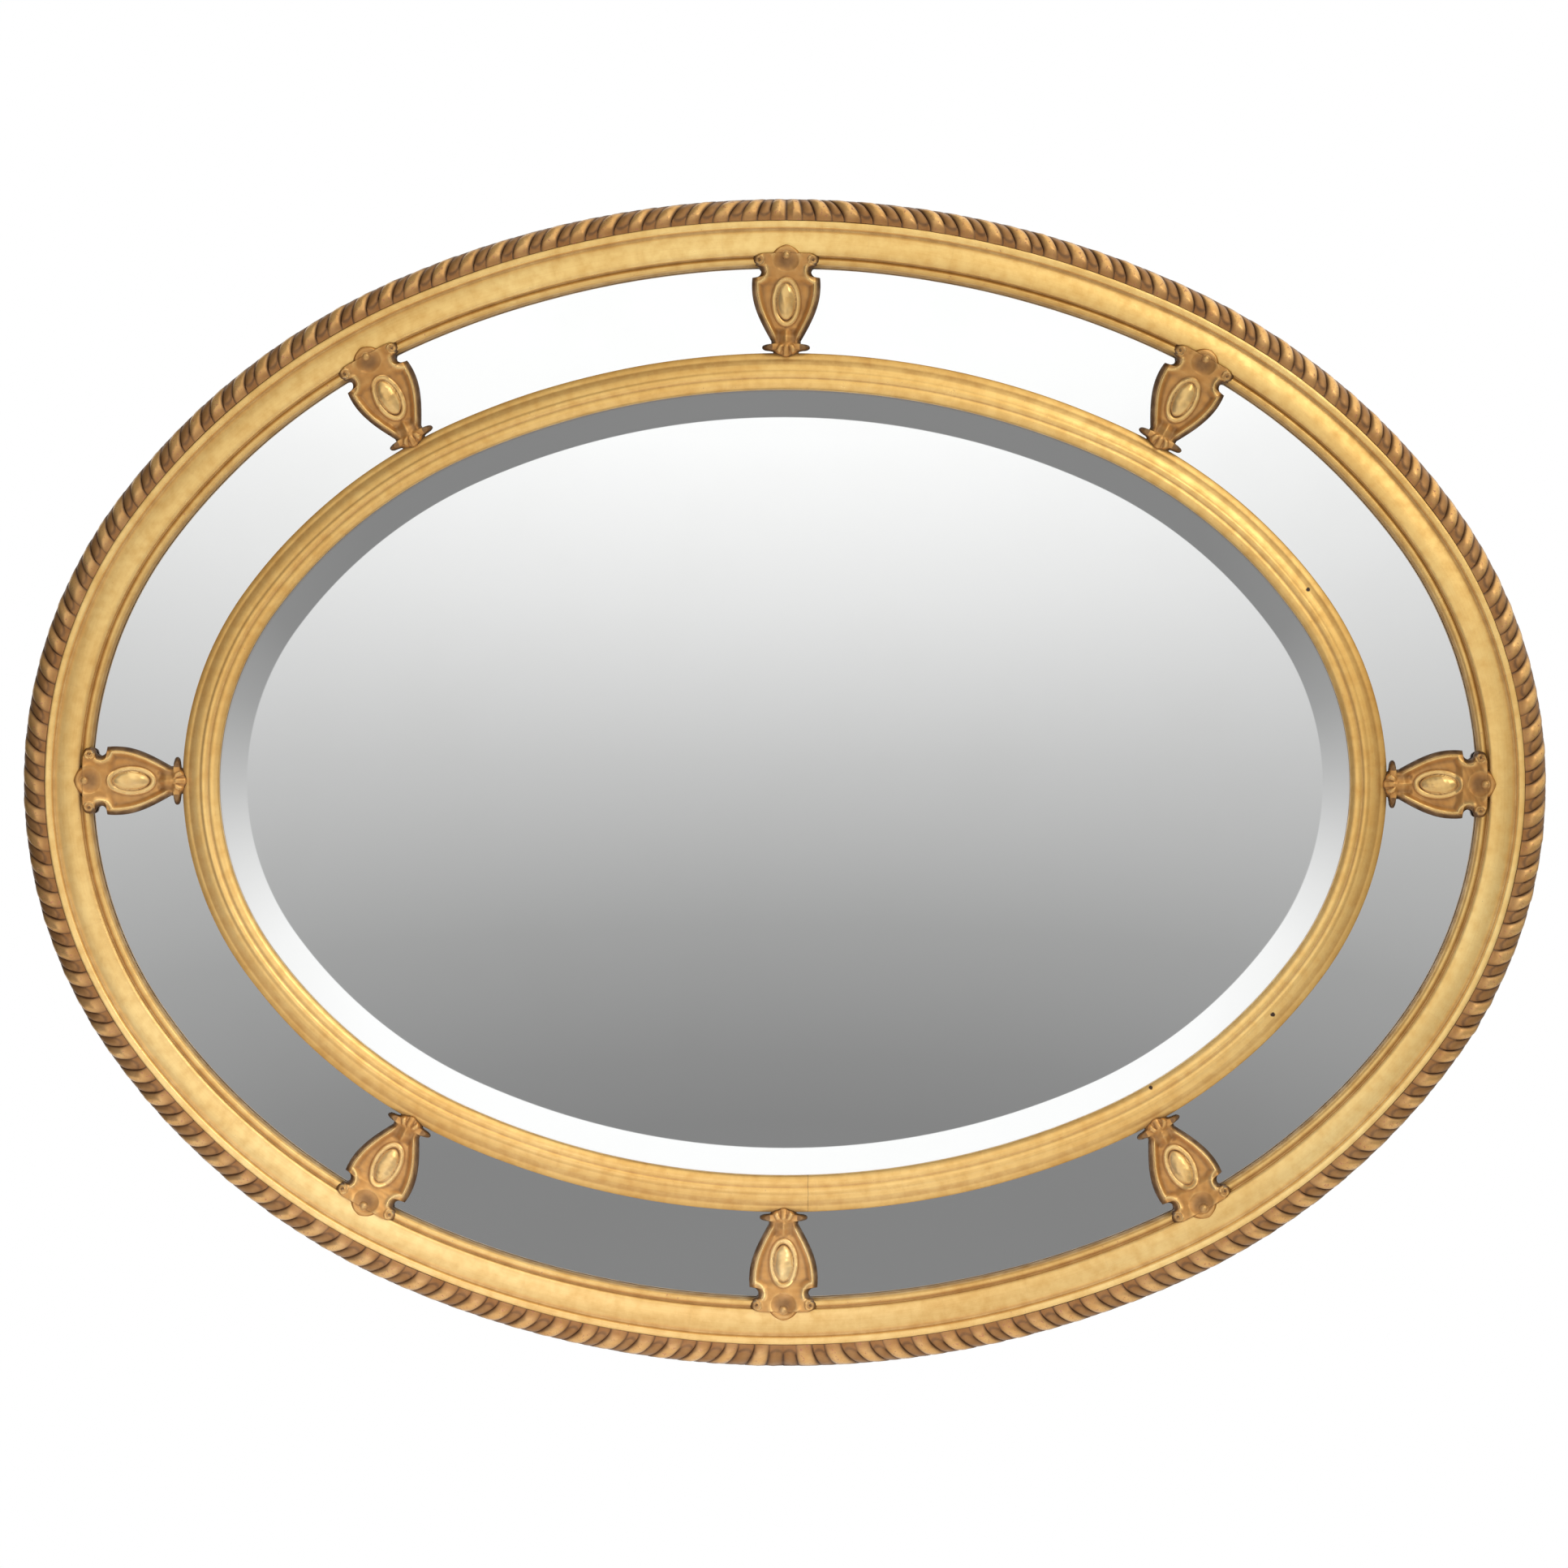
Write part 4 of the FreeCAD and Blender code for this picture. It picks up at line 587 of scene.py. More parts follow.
frame_front = section_line([
    (FILLET_START, GADROON_SEAT),
    (FILLET_START, FILLET_TOP - FILLET_CROWN, (FILLET_START + FILLET_END) / 2, FILLET_TOP),
    (FILLET_END, FILLET_TOP - FILLET_CROWN),
    (QUIRK_FOOT, QUIRK_FLOOR),
    (QUIRK_END, QUIRK_FLOOR, *CUSHION_RISE),
    (*CUSHION_CROWN, *CUSHION_FALL),
    (CUSHION_END, CUSHION_FOOT),
    (CUSHION_END, BEAD_FLOOR),
    (BEAD_START, BEAD_FLOOR, *BEAD_CROWN),
    (BEAD_END, BEAD_FOOT),
    (SIGHT, SIGHT_TOP),
    (SIGHT, GLASS_SEAT),
], FRONT_STEP)
frame_back = np.array([(GLASS_WALL, GLASS_SEAT), (GLASS_WALL, GLASS_BACK), (BOARD_WALL, GLASS_BACK),
                       (BOARD_WALL, 0.0), (SIDE_INSET, 0.0), (SIDE_INSET, GADROON_SEAT)])
outer = carry_round("outer_frame_gilded", frame_line, softened(frame_front, 1), frame_back, FRAME_ROWS,
                    FRAME_SWAY, BEAD_CROWN[0], SIGHT_SHADE, [outer_gilding, ochre_wood])
stand_for(outer, "outer_frame")

# %% [markdown]
# ## The reeded inner moulding
# Four reeds of different width lie side by side, with sharp creases between them, on a cap whose tongue
# goes down between the plates. It is carried round its own oval in the same way.

# %% The inner moulding
REED_BASE = 17.0
REEDS = ((5.5, 2.4, 1.7), (9.7, 4.4, 3.0), (6.3, -0.4, 1.3), (10.0, -5.4, 1.2))
TONGUE_START, TONGUE_END = 8.0, 24.8
REED_STEP = 0.45
INNER_ROWS, INNER_SWAY = 560, 0.05
# Painted shade on the outer slope of the second reed
REED_SHADE = (4.8, 9.2, 0.4)

reed_ends = np.cumsum([(0.0, REED_BASE)] + [(width, step) for width, step, _ in REEDS], axis=0)
reed_crowns = [(start[0] + width / 2, start[1] + crown)
               for start, (width, _, crown) in zip(reed_ends, REEDS)]
inner_corners = [(0.0, GLASS_SEAT)]
inner_corners += [(*start, *crown) for start, crown in zip(reed_ends, reed_crowns)]
inner_corners += [tuple(reed_ends[-1]), (reed_ends[-1][0], GLASS_SEAT)]
inner_front = section_line(inner_corners, REED_STEP)
inner_back = np.array([(TONGUE_END, GLASS_SEAT), (TONGUE_END, GLASS_BACK), (TONGUE_START, GLASS_BACK),
                       (TONGUE_START, GLASS_SEAT)])
inner = carry_round("inner_moulding_gilded", inner_line, softened(inner_front, 1), inner_back, INNER_ROWS,
                    INNER_SWAY, 0.0, REED_SHADE, [inner_gilding, ochre_wood])
stand_for(inner, "inner_moulding")

# %% [markdown]
# ## The gadrooned edge
# A strip with a rolled face is carved with broad lobes that lean and bend like sickles, with a lower dart
# between each two. It is two halves that meet at the top and bottom centre and mirror each other. One
# parameter counts lobes along the edge, the other goes over the roll from the outer edge to the fillet.
# The lean moves a point back along the run near the outer edge. Each lobe was cut by eye, so its rise,
# width and place vary a little.

# %% Lobes and darts
LOBES = 72
GADROON_EDGE, GADROON_WIDTH, GADROON_RISE = 0.6, 19.35, 24.3
GADROON_LEAN, LEAN_RAMP = 16.0, 2.0
LOBE_SHARE, LOBE_RISE = 0.57, 3.6
SHARE_SPREAD, RISE_SPREAD = 0.025, 0.1
DART_RISE, DART_END, ARCH = 2.2, 0.9, 0.09
# The dart's flanks get painted shade, and its crown a weaker painted highlight than the lobe's
EDGE_BODY, DART_SHADE, DART_HIGHLIGHT = 0.12, 0.28, 0.35


def gadroon_relief(cell, cross, seed):
    """Rise of the carving over the roll, with the share that is crown and the share of painted shade in
    the grooves, on the dart's flanks and at its inner end. Lobe and dart are round bumps side by side over
    one pitch. Both fade out towards the edge; the lobe runs out into the fillet and the dart ends before
    it in an arch."""
    chance = np.random.default_rng(seed)
    number = np.clip(np.floor(cell).astype(int), 0, LOBES - 1)
    share = (LOBE_SHARE + chance.normal(0, SHARE_SPREAD, LOBES))[number]
    swell = (1 + chance.normal(0, RISE_SPREAD, LOBES))[number]
    part = cell - number
    across_lobe = np.clip(2 * part / share - 1, -1, 1)
    across_dart = np.clip(2 * (part - share) / (1 - share) - 1, -1, 1)
    lobe, dart = dome(across_lobe), dome(across_dart)
    body = EDGE_BODY + (1 - EDGE_BODY) * ease(0.1, 0.55, cross) * ease(1.0, 0.72, cross)
    before = DART_END - cross - ARCH * across_dart ** 2
    inside = ease(0, ARCH, before)
    carved = DART_RISE * dart * inside + 0.5 * LOBE_RISE * (1 - inside)
    in_lobe = part < share
    rise = np.where(in_lobe, LOBE_RISE * lobe, carved) * body * swell
    # Painted shade on the flanks of dart and lobe, and stronger at the dart's inner arch
    flank_shade = (DART_SHADE + (1 - DART_SHADE) * across_dart ** 4) * inside
    arch = bell(before, ARCH / 2, 0.7 * ARCH)
    groove_shade = np.where(in_lobe, across_lobe ** 4, np.maximum(flank_shade, 0.7 * arch))
    return rise, np.where(in_lobe, lobe, DART_HIGHLIGHT * dart), groove_shade


# %% The gadroon strips
LOBE_SAMPLES, CROSS_SAMPLES = 34, 26
GOUGE_WAVE, GOUGE_DEPTH = 9.0, 0.12
GADROON_CREASE = 60.0


def gadroon_strip(side, seed, node):
    """Points of one half: the roll is a quarter ellipse, the carving rises along its normal, and the strip
    is closed by its wall beside the fillet and its flat back."""
    cell = np.linspace(0, LOBES, LOBES * LOBE_SAMPLES + 1)[:, None]
    cross = np.linspace(0, 1, CROSS_SAMPLES)[None, :]
    taper = np.clip(np.minimum(cell, LOBES - cell) / LEAN_RAMP, 0, 1)
    pitch = FRAME_RUN / 2 / LOBES
    run = cell * pitch - GADROON_LEAN * taper * ease(1, 0, cross)
    rise, crown, groove_shade = gadroon_relief(cell + 0 * cross, cross + 0 * cell, seed)
    rise = rise * np.minimum(1, taper * LEAN_RAMP * 4)
    rise = rise + GOUGE_DEPTH * unevenness(seed, GOUGE_WAVE, run, cross * GADROON_WIDTH)
    lift = cross * QUARTER
    out, front = np.cos(lift) / GADROON_WIDTH, np.sin(lift) / GADROON_RISE
    scale = np.hypot(out, front)
    inset = GADROON_EDGE + GADROON_WIDTH * (1 - np.cos(lift)) - rise * out / scale
    height = GADROON_SEAT + GADROON_RISE * np.sin(lift) + rise * front / scale
    points = place(frame_line, turn_at(frame_line, np.clip(run, 0, FRAME_RUN / 2)), inset, height)
    foot_turn = turn_at(frame_line, run[:, -1:])
    foot = place(frame_line, foot_turn, GADROON_EDGE + GADROON_WIDTH, GADROON_SEAT)
    points = np.concatenate([points, foot], axis=1)
    points[[0, -1], :, 0] = 0
    points[:, :, 0] = np.maximum(points[:, :, 0], 0) * side
    # Painted shade in the grooves and on the outer edge, where the roll turns away from the light
    hollow = np.maximum(ease(0.1, 1.0, groove_shade), 0.65 * ease(0.48, 0.12, cross))
    # Painted highlight on the crowns of lobes and darts
    crown_highlight = crown ** 1.4 * (0.25 + 0.75 * between(0.12, 0.95, cross, 0.3))
    worn = ease(0.6, 0.95, crown)
    hollow, worn, crown_highlight = (np.pad(np.clip(part, 0, 1), ((0, 0), (0, 1))) for part in (hollow, worn, crown_highlight))
    strip = loft(node + "_carved", points, [gadroon_gilding], caps=(0, 0), sharp=GADROON_CREASE,
                 hollow=hollow, crest=worn, burnish=crown_highlight)
    return stand_for(strip, node)


gadroon_strip(1, 11, "gadroon_right")
gadroon_strip(-1, 23, "gadroon_left")

# %% [markdown]
# ## The cartouches
# Each cartouche is a small shield, carved from one block and glued over a joint of the margin plates. Its
# fluted foot laps the inner moulding and its hood the outer frame. The block is a loft: a row goes across
# at each distance t outwards, over the carved face and down both sides. Half the width of a row is the
# largest of a few plain shapes, so the outline needs no list of points, and the face is a height over
# (s, t).

# %% Outline of the blank
LEAF_TIP, SHELL_END = -3.4, 91.5
LEAF_AT, LEAF_LONG, LEAF_WIDE = 4.0, 7.6, 12.0
TOE_AT, TOE_SIDE, TOE_LONG, TOE_WIDE = 4.8, 13.6, 2.8, 6.8
WAIST_AT, WAIST_HALF = 10.5, 12.6
BELLY_AT, BELLY_HALF = 57.0, 29.3
BITE_AT, BITE_SIDE, BITE_RADIUS = 69.0, 26.2, 4.9
EAR_AT, EAR_SIDE, EAR_RADIUS = 78.2, 22.8, 5.5
SHELL_AT, SHELL_LONG, SHELL_WIDE = 79.0, 12.6, 14.6
ROW_STEP, FACE_COLUMNS = 0.45, 97
LEAST_HALF = 0.5


def round_half(t, at, radius, wide, side=0.0):
    """Half width of an ellipse whose middle lies at a distance from the axis; nothing beyond its ends."""
    reach = dome((t - at) / radius)
    return np.where(reach > 0, side + wide * reach, 0)


def half_width(t):
    """Half the width of the blank: leaf, toes, shield, ears or shell, whichever is widest. The shield
    swells like a sine from waist to belly, and a round bite parts its shoulder from the ear above."""
    swell = np.sin(QUARTER * (t - WAIST_AT) / (BELLY_AT - WAIST_AT))
    shield = WAIST_HALF + (BELLY_HALF - WAIST_HALF) * swell
    shield = np.where(t > WAIST_AT, shield, np.where(t > TOE_AT, WAIST_HALF, 0))
    bite = BITE_RADIUS ** 2 - (t - BITE_AT) ** 2
    shield = np.where(bite > 0, np.minimum(shield, BITE_SIDE - np.sqrt(np.clip(bite, 0, None))), shield)
    shield = np.where(t < EAR_AT, shield, 0)
    shapes = [round_half(t, LEAF_AT, LEAF_LONG, LEAF_WIDE),
              round_half(t, TOE_AT, TOE_LONG, TOE_WIDE, TOE_SIDE),
              round_half(t, EAR_AT, EAR_RADIUS, EAR_RADIUS, EAR_SIDE),
              round_half(t, SHELL_AT, SHELL_LONG, SHELL_WIDE), shield]
    return np.maximum(np.maximum.reduce(shapes), LEAST_HALF)


# %% Measures of the carving
SPINE_AT = (-3.4, 3.0, 11.0, 37.0, 64.2, 73.6, 78.2, 84.6, 88.0, 91.5)
SPINE_HEIGHT = (20.6, 24.2, 23.4, 25.4, 29.8, 33.6, 36.2, 38.0, 37.8, 35.6)
SPINE_SOFT, SIDE_BATTER = 8, 3.2
ROLL_AT, ROLL_HALF, ROLL_RISE = 4.9, 1.7, 1.3
ROLL_SPAN, FIELD_SPAN, WAIST_SPAN = (11.0, 76.0), (13.0, 64.0), (6.0, 22.0)
FIELD_EDGE, FIELD_DEPTH, FIELD_SOFT = (5.5, 10.5), 3.0, 7.0
RIM_AT, RIM_LONG, RIM_WIDE, RIM_HALF, RIM_RISE = 43.0, 18.6, 10.3, 2.6, 1.9
BOSS_AT, BOSS_LONG, BOSS_WIDE, BOSS_RISE = 43.4, 15.6, 8.2, 5.4
HOOD_AT, HOOD_LONG, HOOD_WIDE, HOOD_DEPTH = 77.6, 8.8, 10.4, 2.6
LIP_AT, LIP_HALF, LIP_RISE = 1.25, 0.22, 0.8
BALL_AT, BALL_RADIUS, BALL_HEIGHT = 82.6, 3.6, 34.6
EAR_COIL = 2.8
FLUTE_RISE, FLUTE_HALF, FLUTE_SWELL = 1.6, 2.3, 0.06
FLUTE_ROOT, FLUTE_SIDE, FLUTE_SPLAY, FLUTE_FADE = 6.0, 4.4, 0.45, (9.0, 5.0)
SINK_SIDE, SINK_HALF, SINK_DEPTH = 6.4, 2.8, 1.8
RIDGE_HALF, RIDGE_RISE = 2.2, 1.5
CORNER_WIDE, CORNER_DEPTH = 1.8, 1.4
KNIFE_WAVE, KNIFE_DEPTH = 7.0, 0.14
print("A cartouche is", SHELL_END - LEAF_TIP, "mm long and", 2 * BELLY_HALF, "mm wide at its belly")

# %% Shapes on the face
def oval_share(s, t, at, long, wide):
    """Distance from the middle of an ellipse as a share of its reach that way: one on its line."""
    return np.hypot(s / wide, (t - at) / long)


def oval_distance(s, t, at, long, wide):
    """Distance from the line of an ellipse: the share less one, over the slope of the share."""
    share = np.maximum(oval_share(s, t, at, long, wide), 1e-6)
    slope = np.hypot(s / wide ** 2, (t - at) / long ** 2) / share
    return (share - 1) / np.maximum(slope, 1e-6)


def scroll(s, t, at, side, radius, turn):
    """A volute: a wave over the distance from its eye, whose crest winds inwards with the angle."""
    away = np.hypot(np.abs(s) - side, t - at)
    angle = np.arctan2(t - at, np.abs(s) - side)
    coil = np.cos(2 * math.pi * away / turn - angle)
    return (0.55 + 0.75 * coil) * ease(radius * 1.02, radius * 0.72, away)


# %% Carving of the face
def carved_face(s, t, half, seed):
    """Height of the face, its parts laid over each other from the roll to the foot, and the shares of it
    that the finish needs. The roll follows the outline at an even distance, round the bites too."""
    height = softened(np.interp(t[:, 0], SPINE_AT, SPINE_HEIGHT), SPINE_SOFT)[:, None] + 0 * s
    bite = np.hypot(np.abs(s) - BITE_SIDE, t - BITE_AT) - BITE_RADIUS
    edge = np.minimum(half - np.abs(s), bite)
    roll = bell(edge, ROLL_AT, ROLL_HALF) * between(*ROLL_SPAN, t)
    height += ROLL_RISE * roll
    height -= FIELD_DEPTH * ease(*FIELD_EDGE, edge) * between(*FIELD_SPAN, t, FIELD_SOFT)
    rim = dome(oval_distance(s, t, RIM_AT, RIM_LONG, RIM_WIDE) / RIM_HALF)
    boss = oval_share(s, t, BOSS_AT, BOSS_LONG, BOSS_WIDE)
    height += RIM_RISE * rim + BOSS_RISE * dome(boss)
    hood = oval_share(s, t, HOOD_AT, HOOD_LONG, HOOD_WIDE)
    height += LIP_RISE * bell(hood, LIP_AT, LIP_HALF) * ease(HOOD_AT - 2, HOOD_AT + 6, t)
    height -= HOOD_DEPTH * np.clip(1.1 - hood ** 2, 0, 1) ** 0.9
    ball = dome(np.hypot(s, t - BALL_AT) / BALL_RADIUS)
    height = np.where(ball > 0, np.maximum(height, BALL_HEIGHT + BALL_RADIUS * ball), height)
    height += scroll(s, t, EAR_AT, EAR_SIDE, EAR_RADIUS, EAR_COIL)
    # The leaf foot: three flutes at its toe, then two sunk flutes beside a ridge
    toe = FLUTE_ROOT - t
    for lean in (-1, 0, 1):
        flute = dome((s - lean * (FLUTE_SIDE + FLUTE_SPLAY * toe)) / (FLUTE_HALF + FLUTE_SWELL * toe))
        height += FLUTE_RISE * flute * ease(*FLUTE_FADE, t)
    waist = between(*WAIST_SPAN, t)
    sunk = waist * bell(np.abs(s), SINK_SIDE, SINK_HALF)
    height += RIDGE_RISE * waist * bell(s, 0, RIDGE_HALF) - SINK_DEPTH * sunk
    height -= CORNER_DEPTH * np.clip(1 - (half - np.abs(s) - SIDE_BATTER) / CORNER_WIDE, 0, 1) ** 2
    height += KNIFE_DEPTH * unevenness(seed, KNIFE_WAVE, s, t)
    return height, {"boss": ease(1.03, 0.94, boss), "raised": np.maximum(roll, rim ** 2),
                    "hood": hood, "ball": ball > 0, "sunk": sunk}


# %% Glaze, painted shade, burnishing and painted highlight of the face
def carving_wear(face, s, t, shares):
    """Shares of glaze with painted shade, of rubbed leaf, and of burnishing with painted highlight. Glaze
    and painted shade lie in hollows, and painted shade in the hood, on the toes, in the sunk flutes and in
    the eyes of the ears; boss, roll and rim are burnished, roll and rim also as painted highlight, and the
    coils of the ears carry a painted highlight."""
    hollow, crest = relief(face, 4, 1.3)
    eye = np.hypot(np.abs(s) - EAR_SIDE, t - EAR_AT)
    # Painted shade in the hood's cavity, lighter on the ball, on the outer toes, in the sunk flutes and in
    # the eyes of the ears
    hood = np.where(shares["ball"], 0.2, 0.75 * ease(1.25, 0.3, shares["hood"]))
    toe = np.where(np.abs(s) > TOE_SIDE - 2, ease(9.0, 7.0, t), 0)
    ear = ease(2.0, 0.8, eye)
    hollow = np.maximum.reduce([hollow, hood, 0.9 * toe, 0.6 * shares["sunk"], 0.9 * ear])
    # Burnishing with painted highlight on crests, roll and rim, a ring of painted highlight round the eyes
    # of the ears, and a burnished boss and ball
    burnish = np.maximum.reduce([0.5 * crest, 0.7 * shares["raised"], 0.6 * bell(eye, 3.4, 1.2)])
    burnish = np.maximum(0.7 * shares["boss"], np.where(shares["ball"], 0.35, burnish))
    return hollow * (1 - shares["boss"]), crest * (1 - shares["boss"]), burnish


# %% The eight cartouches
BASE_AT = (-6.0, 1.0, 3.0, 70.0, 75.0, 82.0)
BASE_HEIGHT = (17.5, 16.5, GLASS_SEAT, GLASS_SEAT, 20.0, 24.0)
SIDE_FALL, SIDE_LEAST = np.array([2.2, 5.5]), np.array([0.2, 0.1])
SIDE_COLUMNS = ((0, 0), (3, 3))
RIGHT_TURNS = (90.0, 61.0, 0.0, -61.0)
CARTOUCHE_TURNS = RIGHT_TURNS + tuple(turn - 180.0 for turn in RIGHT_TURNS)
CARVING_SEED, CARVING_CREASE = 40, 70.0


def cartouche(number, turn):
    """One cartouche on the outer edge of the inner moulding, pointing outwards along the normal there."""
    t = np.arange(LEAF_TIP, SHELL_END, ROW_STEP)[:, None]
    half = half_width(t)
    reach = np.maximum(half - SIDE_BATTER, LEAST_HALF / 2)
    s = np.linspace(-1, 1, FACE_COLUMNS)[None, :] * reach
    face, shares = carved_face(s, t + 0 * s, half, CARVING_SEED + number)
    base = np.interp(t, BASE_AT, BASE_HEIGHT)
    left = np.maximum(face[:, :1] - SIDE_FALL, base + SIDE_LEAST)
    right = np.maximum(face[:, -1:] - SIDE_FALL, base + SIDE_LEAST)
    middle = (reach + half) / 2
    across = np.hstack([-half, -half, -middle, s, middle, half, half])
    height = np.hstack([base, left[:, ::-1], face, right, base])
    angle = math.radians(turn)
    foot = place(inner_line, np.array(angle), 0.0, 0.0)
    outward = np.array([math.cos(angle), 0.0, math.sin(angle)])
    beside = np.array([-math.sin(angle), 0.0, math.cos(angle)])
    points = foot + MM * (t[..., None] * outward + across[..., None] * beside)
    points[..., 1] = -(WALL_GAP + height) * MM
    hollow, crest, burnish = carving_wear(face, s, t, shares)
    # The sides of the block are set fully dark as painted shade
    piece = loft("cartouche_%d_carved" % number, points, [carving_gilding], caps=(0, 0),
                 sharp=CARVING_CREASE, hollow=np.pad(hollow, SIDE_COLUMNS, constant_values=1),
                 crest=np.pad(crest, SIDE_COLUMNS), burnish=np.pad(burnish, SIDE_COLUMNS))
    return stand_for(piece, "cartouche_%d" % number)


for number, turn in enumerate(CARTOUCHE_TURNS, start=1):
    cartouche(number, turn)

# %% [markdown]
# ## The mirror plates
# A mirror is glass with silver on its back, and the bevel works as a prism: it bends the reflection
# towards the middle, so the top bevel shows what lies low in the room and the bottom bevel what lies high.
# That only comes out right with real glass and its silver behind it, so each plate is one closed body of
# clear glass whose back face has a silver finish. A plain mirror colour on the front would be simpler, but
# its bevel would bend the reflection twice as far.

# %% Glass and silver
def clear_glass():
    """Clear plate glass with a slight wave of its surface."""
    finish = Finish("plate_glass")
    wave = finish.noise(2.2, 1.0)
    finish.shade(Base_Color=(0.985, 0.993, 0.99, 1), Roughness=0.0, IOR=1.52, Transmission_Weight=1.0,
                 Normal=finish.bump(wave, 0.00002, 0.5))
    return finish.material


def back_silver():
    """Bright silver behind the glass, with faint clouds of age."""
    finish = Finish("mirror_silver")
    age = finish.noise(9.0, 5.0)
    silver = finish.mix(finish.spread(age, 0.5, 0.9, 0.0, 0.12), (0.985, 0.985, 0.983, 1), "#e9e8e4")
    finish.shade(Base_Color=silver, Metallic=1.0, Roughness=0.0)
    return finish.material


glass = clear_glass()
silver = back_silver()
print("Finishes", glass.name, "and", silver.name)

# %% The bevelled centre plate
PLATE_ROWS, GLASS_CREASE = 320, 2.5
PLATE_INSET, PLATE_BEVEL = 25.5, 29.0
PLATE_EDGE, PLATE_FRONT = 13.0, 16.0


def silvered_plate(node, rings):
    """A closed plate from rings of points, front to back: glass all round, and silver on its last face."""
    plate = loft(node + "_silvered", np.stack(rings), [glass, silver], caps=(0, 1), sharp=GLASS_CREASE)
    return stand_for(plate, node)


round_turn = np.linspace(QUARTER, -3 * QUARTER, PLATE_ROWS, endpoint=False)
silvered_plate("centre_plate", [
    place(inner_line, round_turn, PLATE_INSET + PLATE_BEVEL, PLATE_FRONT),
    place(inner_line, round_turn, PLATE_INSET, PLATE_EDGE),
    place(inner_line, round_turn, PLATE_INSET, GLASS_BACK),
])

# %% [markdown]
# ## The margin plates
# Eight curved plates fill the ring between the two mouldings. Each is bounded by the two ovals and by the
# joints under its cartouches. A plate's outline goes along the outer oval and comes back along the inner
# one; two such rings, front and back, make the plate.

# %% The eight margin plates
MARGIN_OUTSIDE = GLASS_WALL + 1.0
MARGIN_INSIDE = TONGUE_START - 0.7
MARGIN_SAMPLES = 48
JOINT_GAP = 0.8
NEWTON_STEPS, SMALL_TURN = 12, 1e-4


def turn_on_ray(line, inset, foot, direction, guess):
    """Turn at which a ray from foot meets an oval: Newton steps on the distance beside the ray."""
    beside = np.array([-direction[1], direction[0]])
    turn = guess
    for _ in range(NEWTON_STEPS):
        near = place(line, np.array([turn, turn + SMALL_TURN]), inset, 0.0)[:, [0, 2]] / MM
        miss, next_miss = (near - foot) @ beside
        turn = turn - miss * SMALL_TURN / (next_miss - miss)
    return turn


def joint_turns(turn, side):
    """Turns of the outer and inner corners of a plate beside the joint at a cartouche's turn."""
    angle = math.radians(turn)
    direction = np.array([math.cos(angle), math.sin(angle)])
    foot = place(inner_line, np.array(angle), 0.0, 0.0)[[0, 2]] / MM
    foot = foot + side * JOINT_GAP / 2 * np.array([direction[1], -direction[0]])
    return (turn_on_ray(frame_line, MARGIN_OUTSIDE, foot, direction, angle),
            turn_on_ray(inner_line, MARGIN_INSIDE, foot, direction, angle))


def margin_plate(number, start, end):
    """The plate clockwise from one cartouche to the next."""
    outer_start, inner_start = joint_turns(start, 1)
    outer_end, inner_end = joint_turns(end, -1)
    outside = np.linspace(outer_start, outer_end, MARGIN_SAMPLES)
    inside = np.linspace(inner_end, inner_start, MARGIN_SAMPLES)
    rings = [np.concatenate([place(frame_line, outside, MARGIN_OUTSIDE, height),
                             place(inner_line, inside, MARGIN_INSIDE, height)])
             for height in (GLASS_SEAT, GLASS_BACK)]
    return silvered_plate("margin_plate_%d" % number, rings)


next_turns = CARTOUCHE_TURNS[1:] + (CARTOUCHE_TURNS[0] - 360.0,)
for number, (start, end) in enumerate(zip(CARTOUCHE_TURNS, next_turns), start=1):
    margin_plate(number, start, end)

# %% [markdown]
# ## The back
# Four pine boards close the back, screwed into the frame and the inner moulding. Their shapes are right in
# the solids, so they stay and only get their finishes, each board with its own grain.

# %% Boards, screws, hangers and bumpers
def worn_metal(name, bright, dull, rough):
    """Metal with a film of tarnish in clouds, fine scratches and a little roughness."""
    finish = Finish(name)
    film = finish.noise(140.0, 5.0)
    scratch = finish.noise(60.0, 4.0, finish.stretched((4, 30, 30)))
    skin = finish.mix(finish.spread(film, 0.35, 0.75), bright, dull)
    gloss = finish.spread(film, 0.3, 0.8, rough, rough + 0.3)
    finish.shade(Base_Color=skin, Metallic=0.95, Roughness=gloss, Normal=finish.bump(scratch, 0.0001, 0.4))
    return finish.material


def soft_rubber():
    """Dull brown rubber with a fine grain."""
    finish = Finish("bumper_rubber_skin")
    grain = finish.noise(1500.0, 3.0)
    skin = finish.mix(finish.noise(90.0, 3.0), "#2c241e", "#463a30")
    finish.shade(Base_Color=skin, Roughness=finish.spread(grain, 0.2, 0.8, 0.6, 0.85),
                 Normal=finish.bump(grain, 0.0002, 0.5))
    return finish.material


def dress(node, material):
    """Give a CAD node a new finish in its own material slots."""
    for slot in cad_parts[node].material_slots:
        slot.material = material


BOARD_TONES = (("#c8a674", "#a47c4c"), ("#b8925f", "#94693c"), ("#caa979", "#aa8250"),
               ("#bd9966", "#9a7044"))
BOARD_SHIFT = 3.7
for number, (pale, dark) in enumerate(BOARD_TONES, start=1):
    board_wood = bare_wood("pine_board_%d" % number, pale, dark, seed=number * BOARD_SHIFT)
    dress("backboard_%d" % number, board_wood)
brass = worn_metal("aged_brass", "#c9a55c", "#7d6434", 0.28)
steel = worn_metal("dull_steel", "#9a9890", "#5c4c3e", 0.38)
rubber = soft_rubber()
for side in ("left", "right"):
    dress("hanger_strap_%s" % side, brass)
    dress("hanger_ring_%s" % side, brass)
    dress("wall_bumper_%s" % side, rubber)
for name in ("backboard_screws", "inner_moulding_screws", "hanger_screws"):
    dress(name, steel)
stay = sorted(name for name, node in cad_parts.items() if not node.hide_render)
print("CAD nodes that stay:", stay)

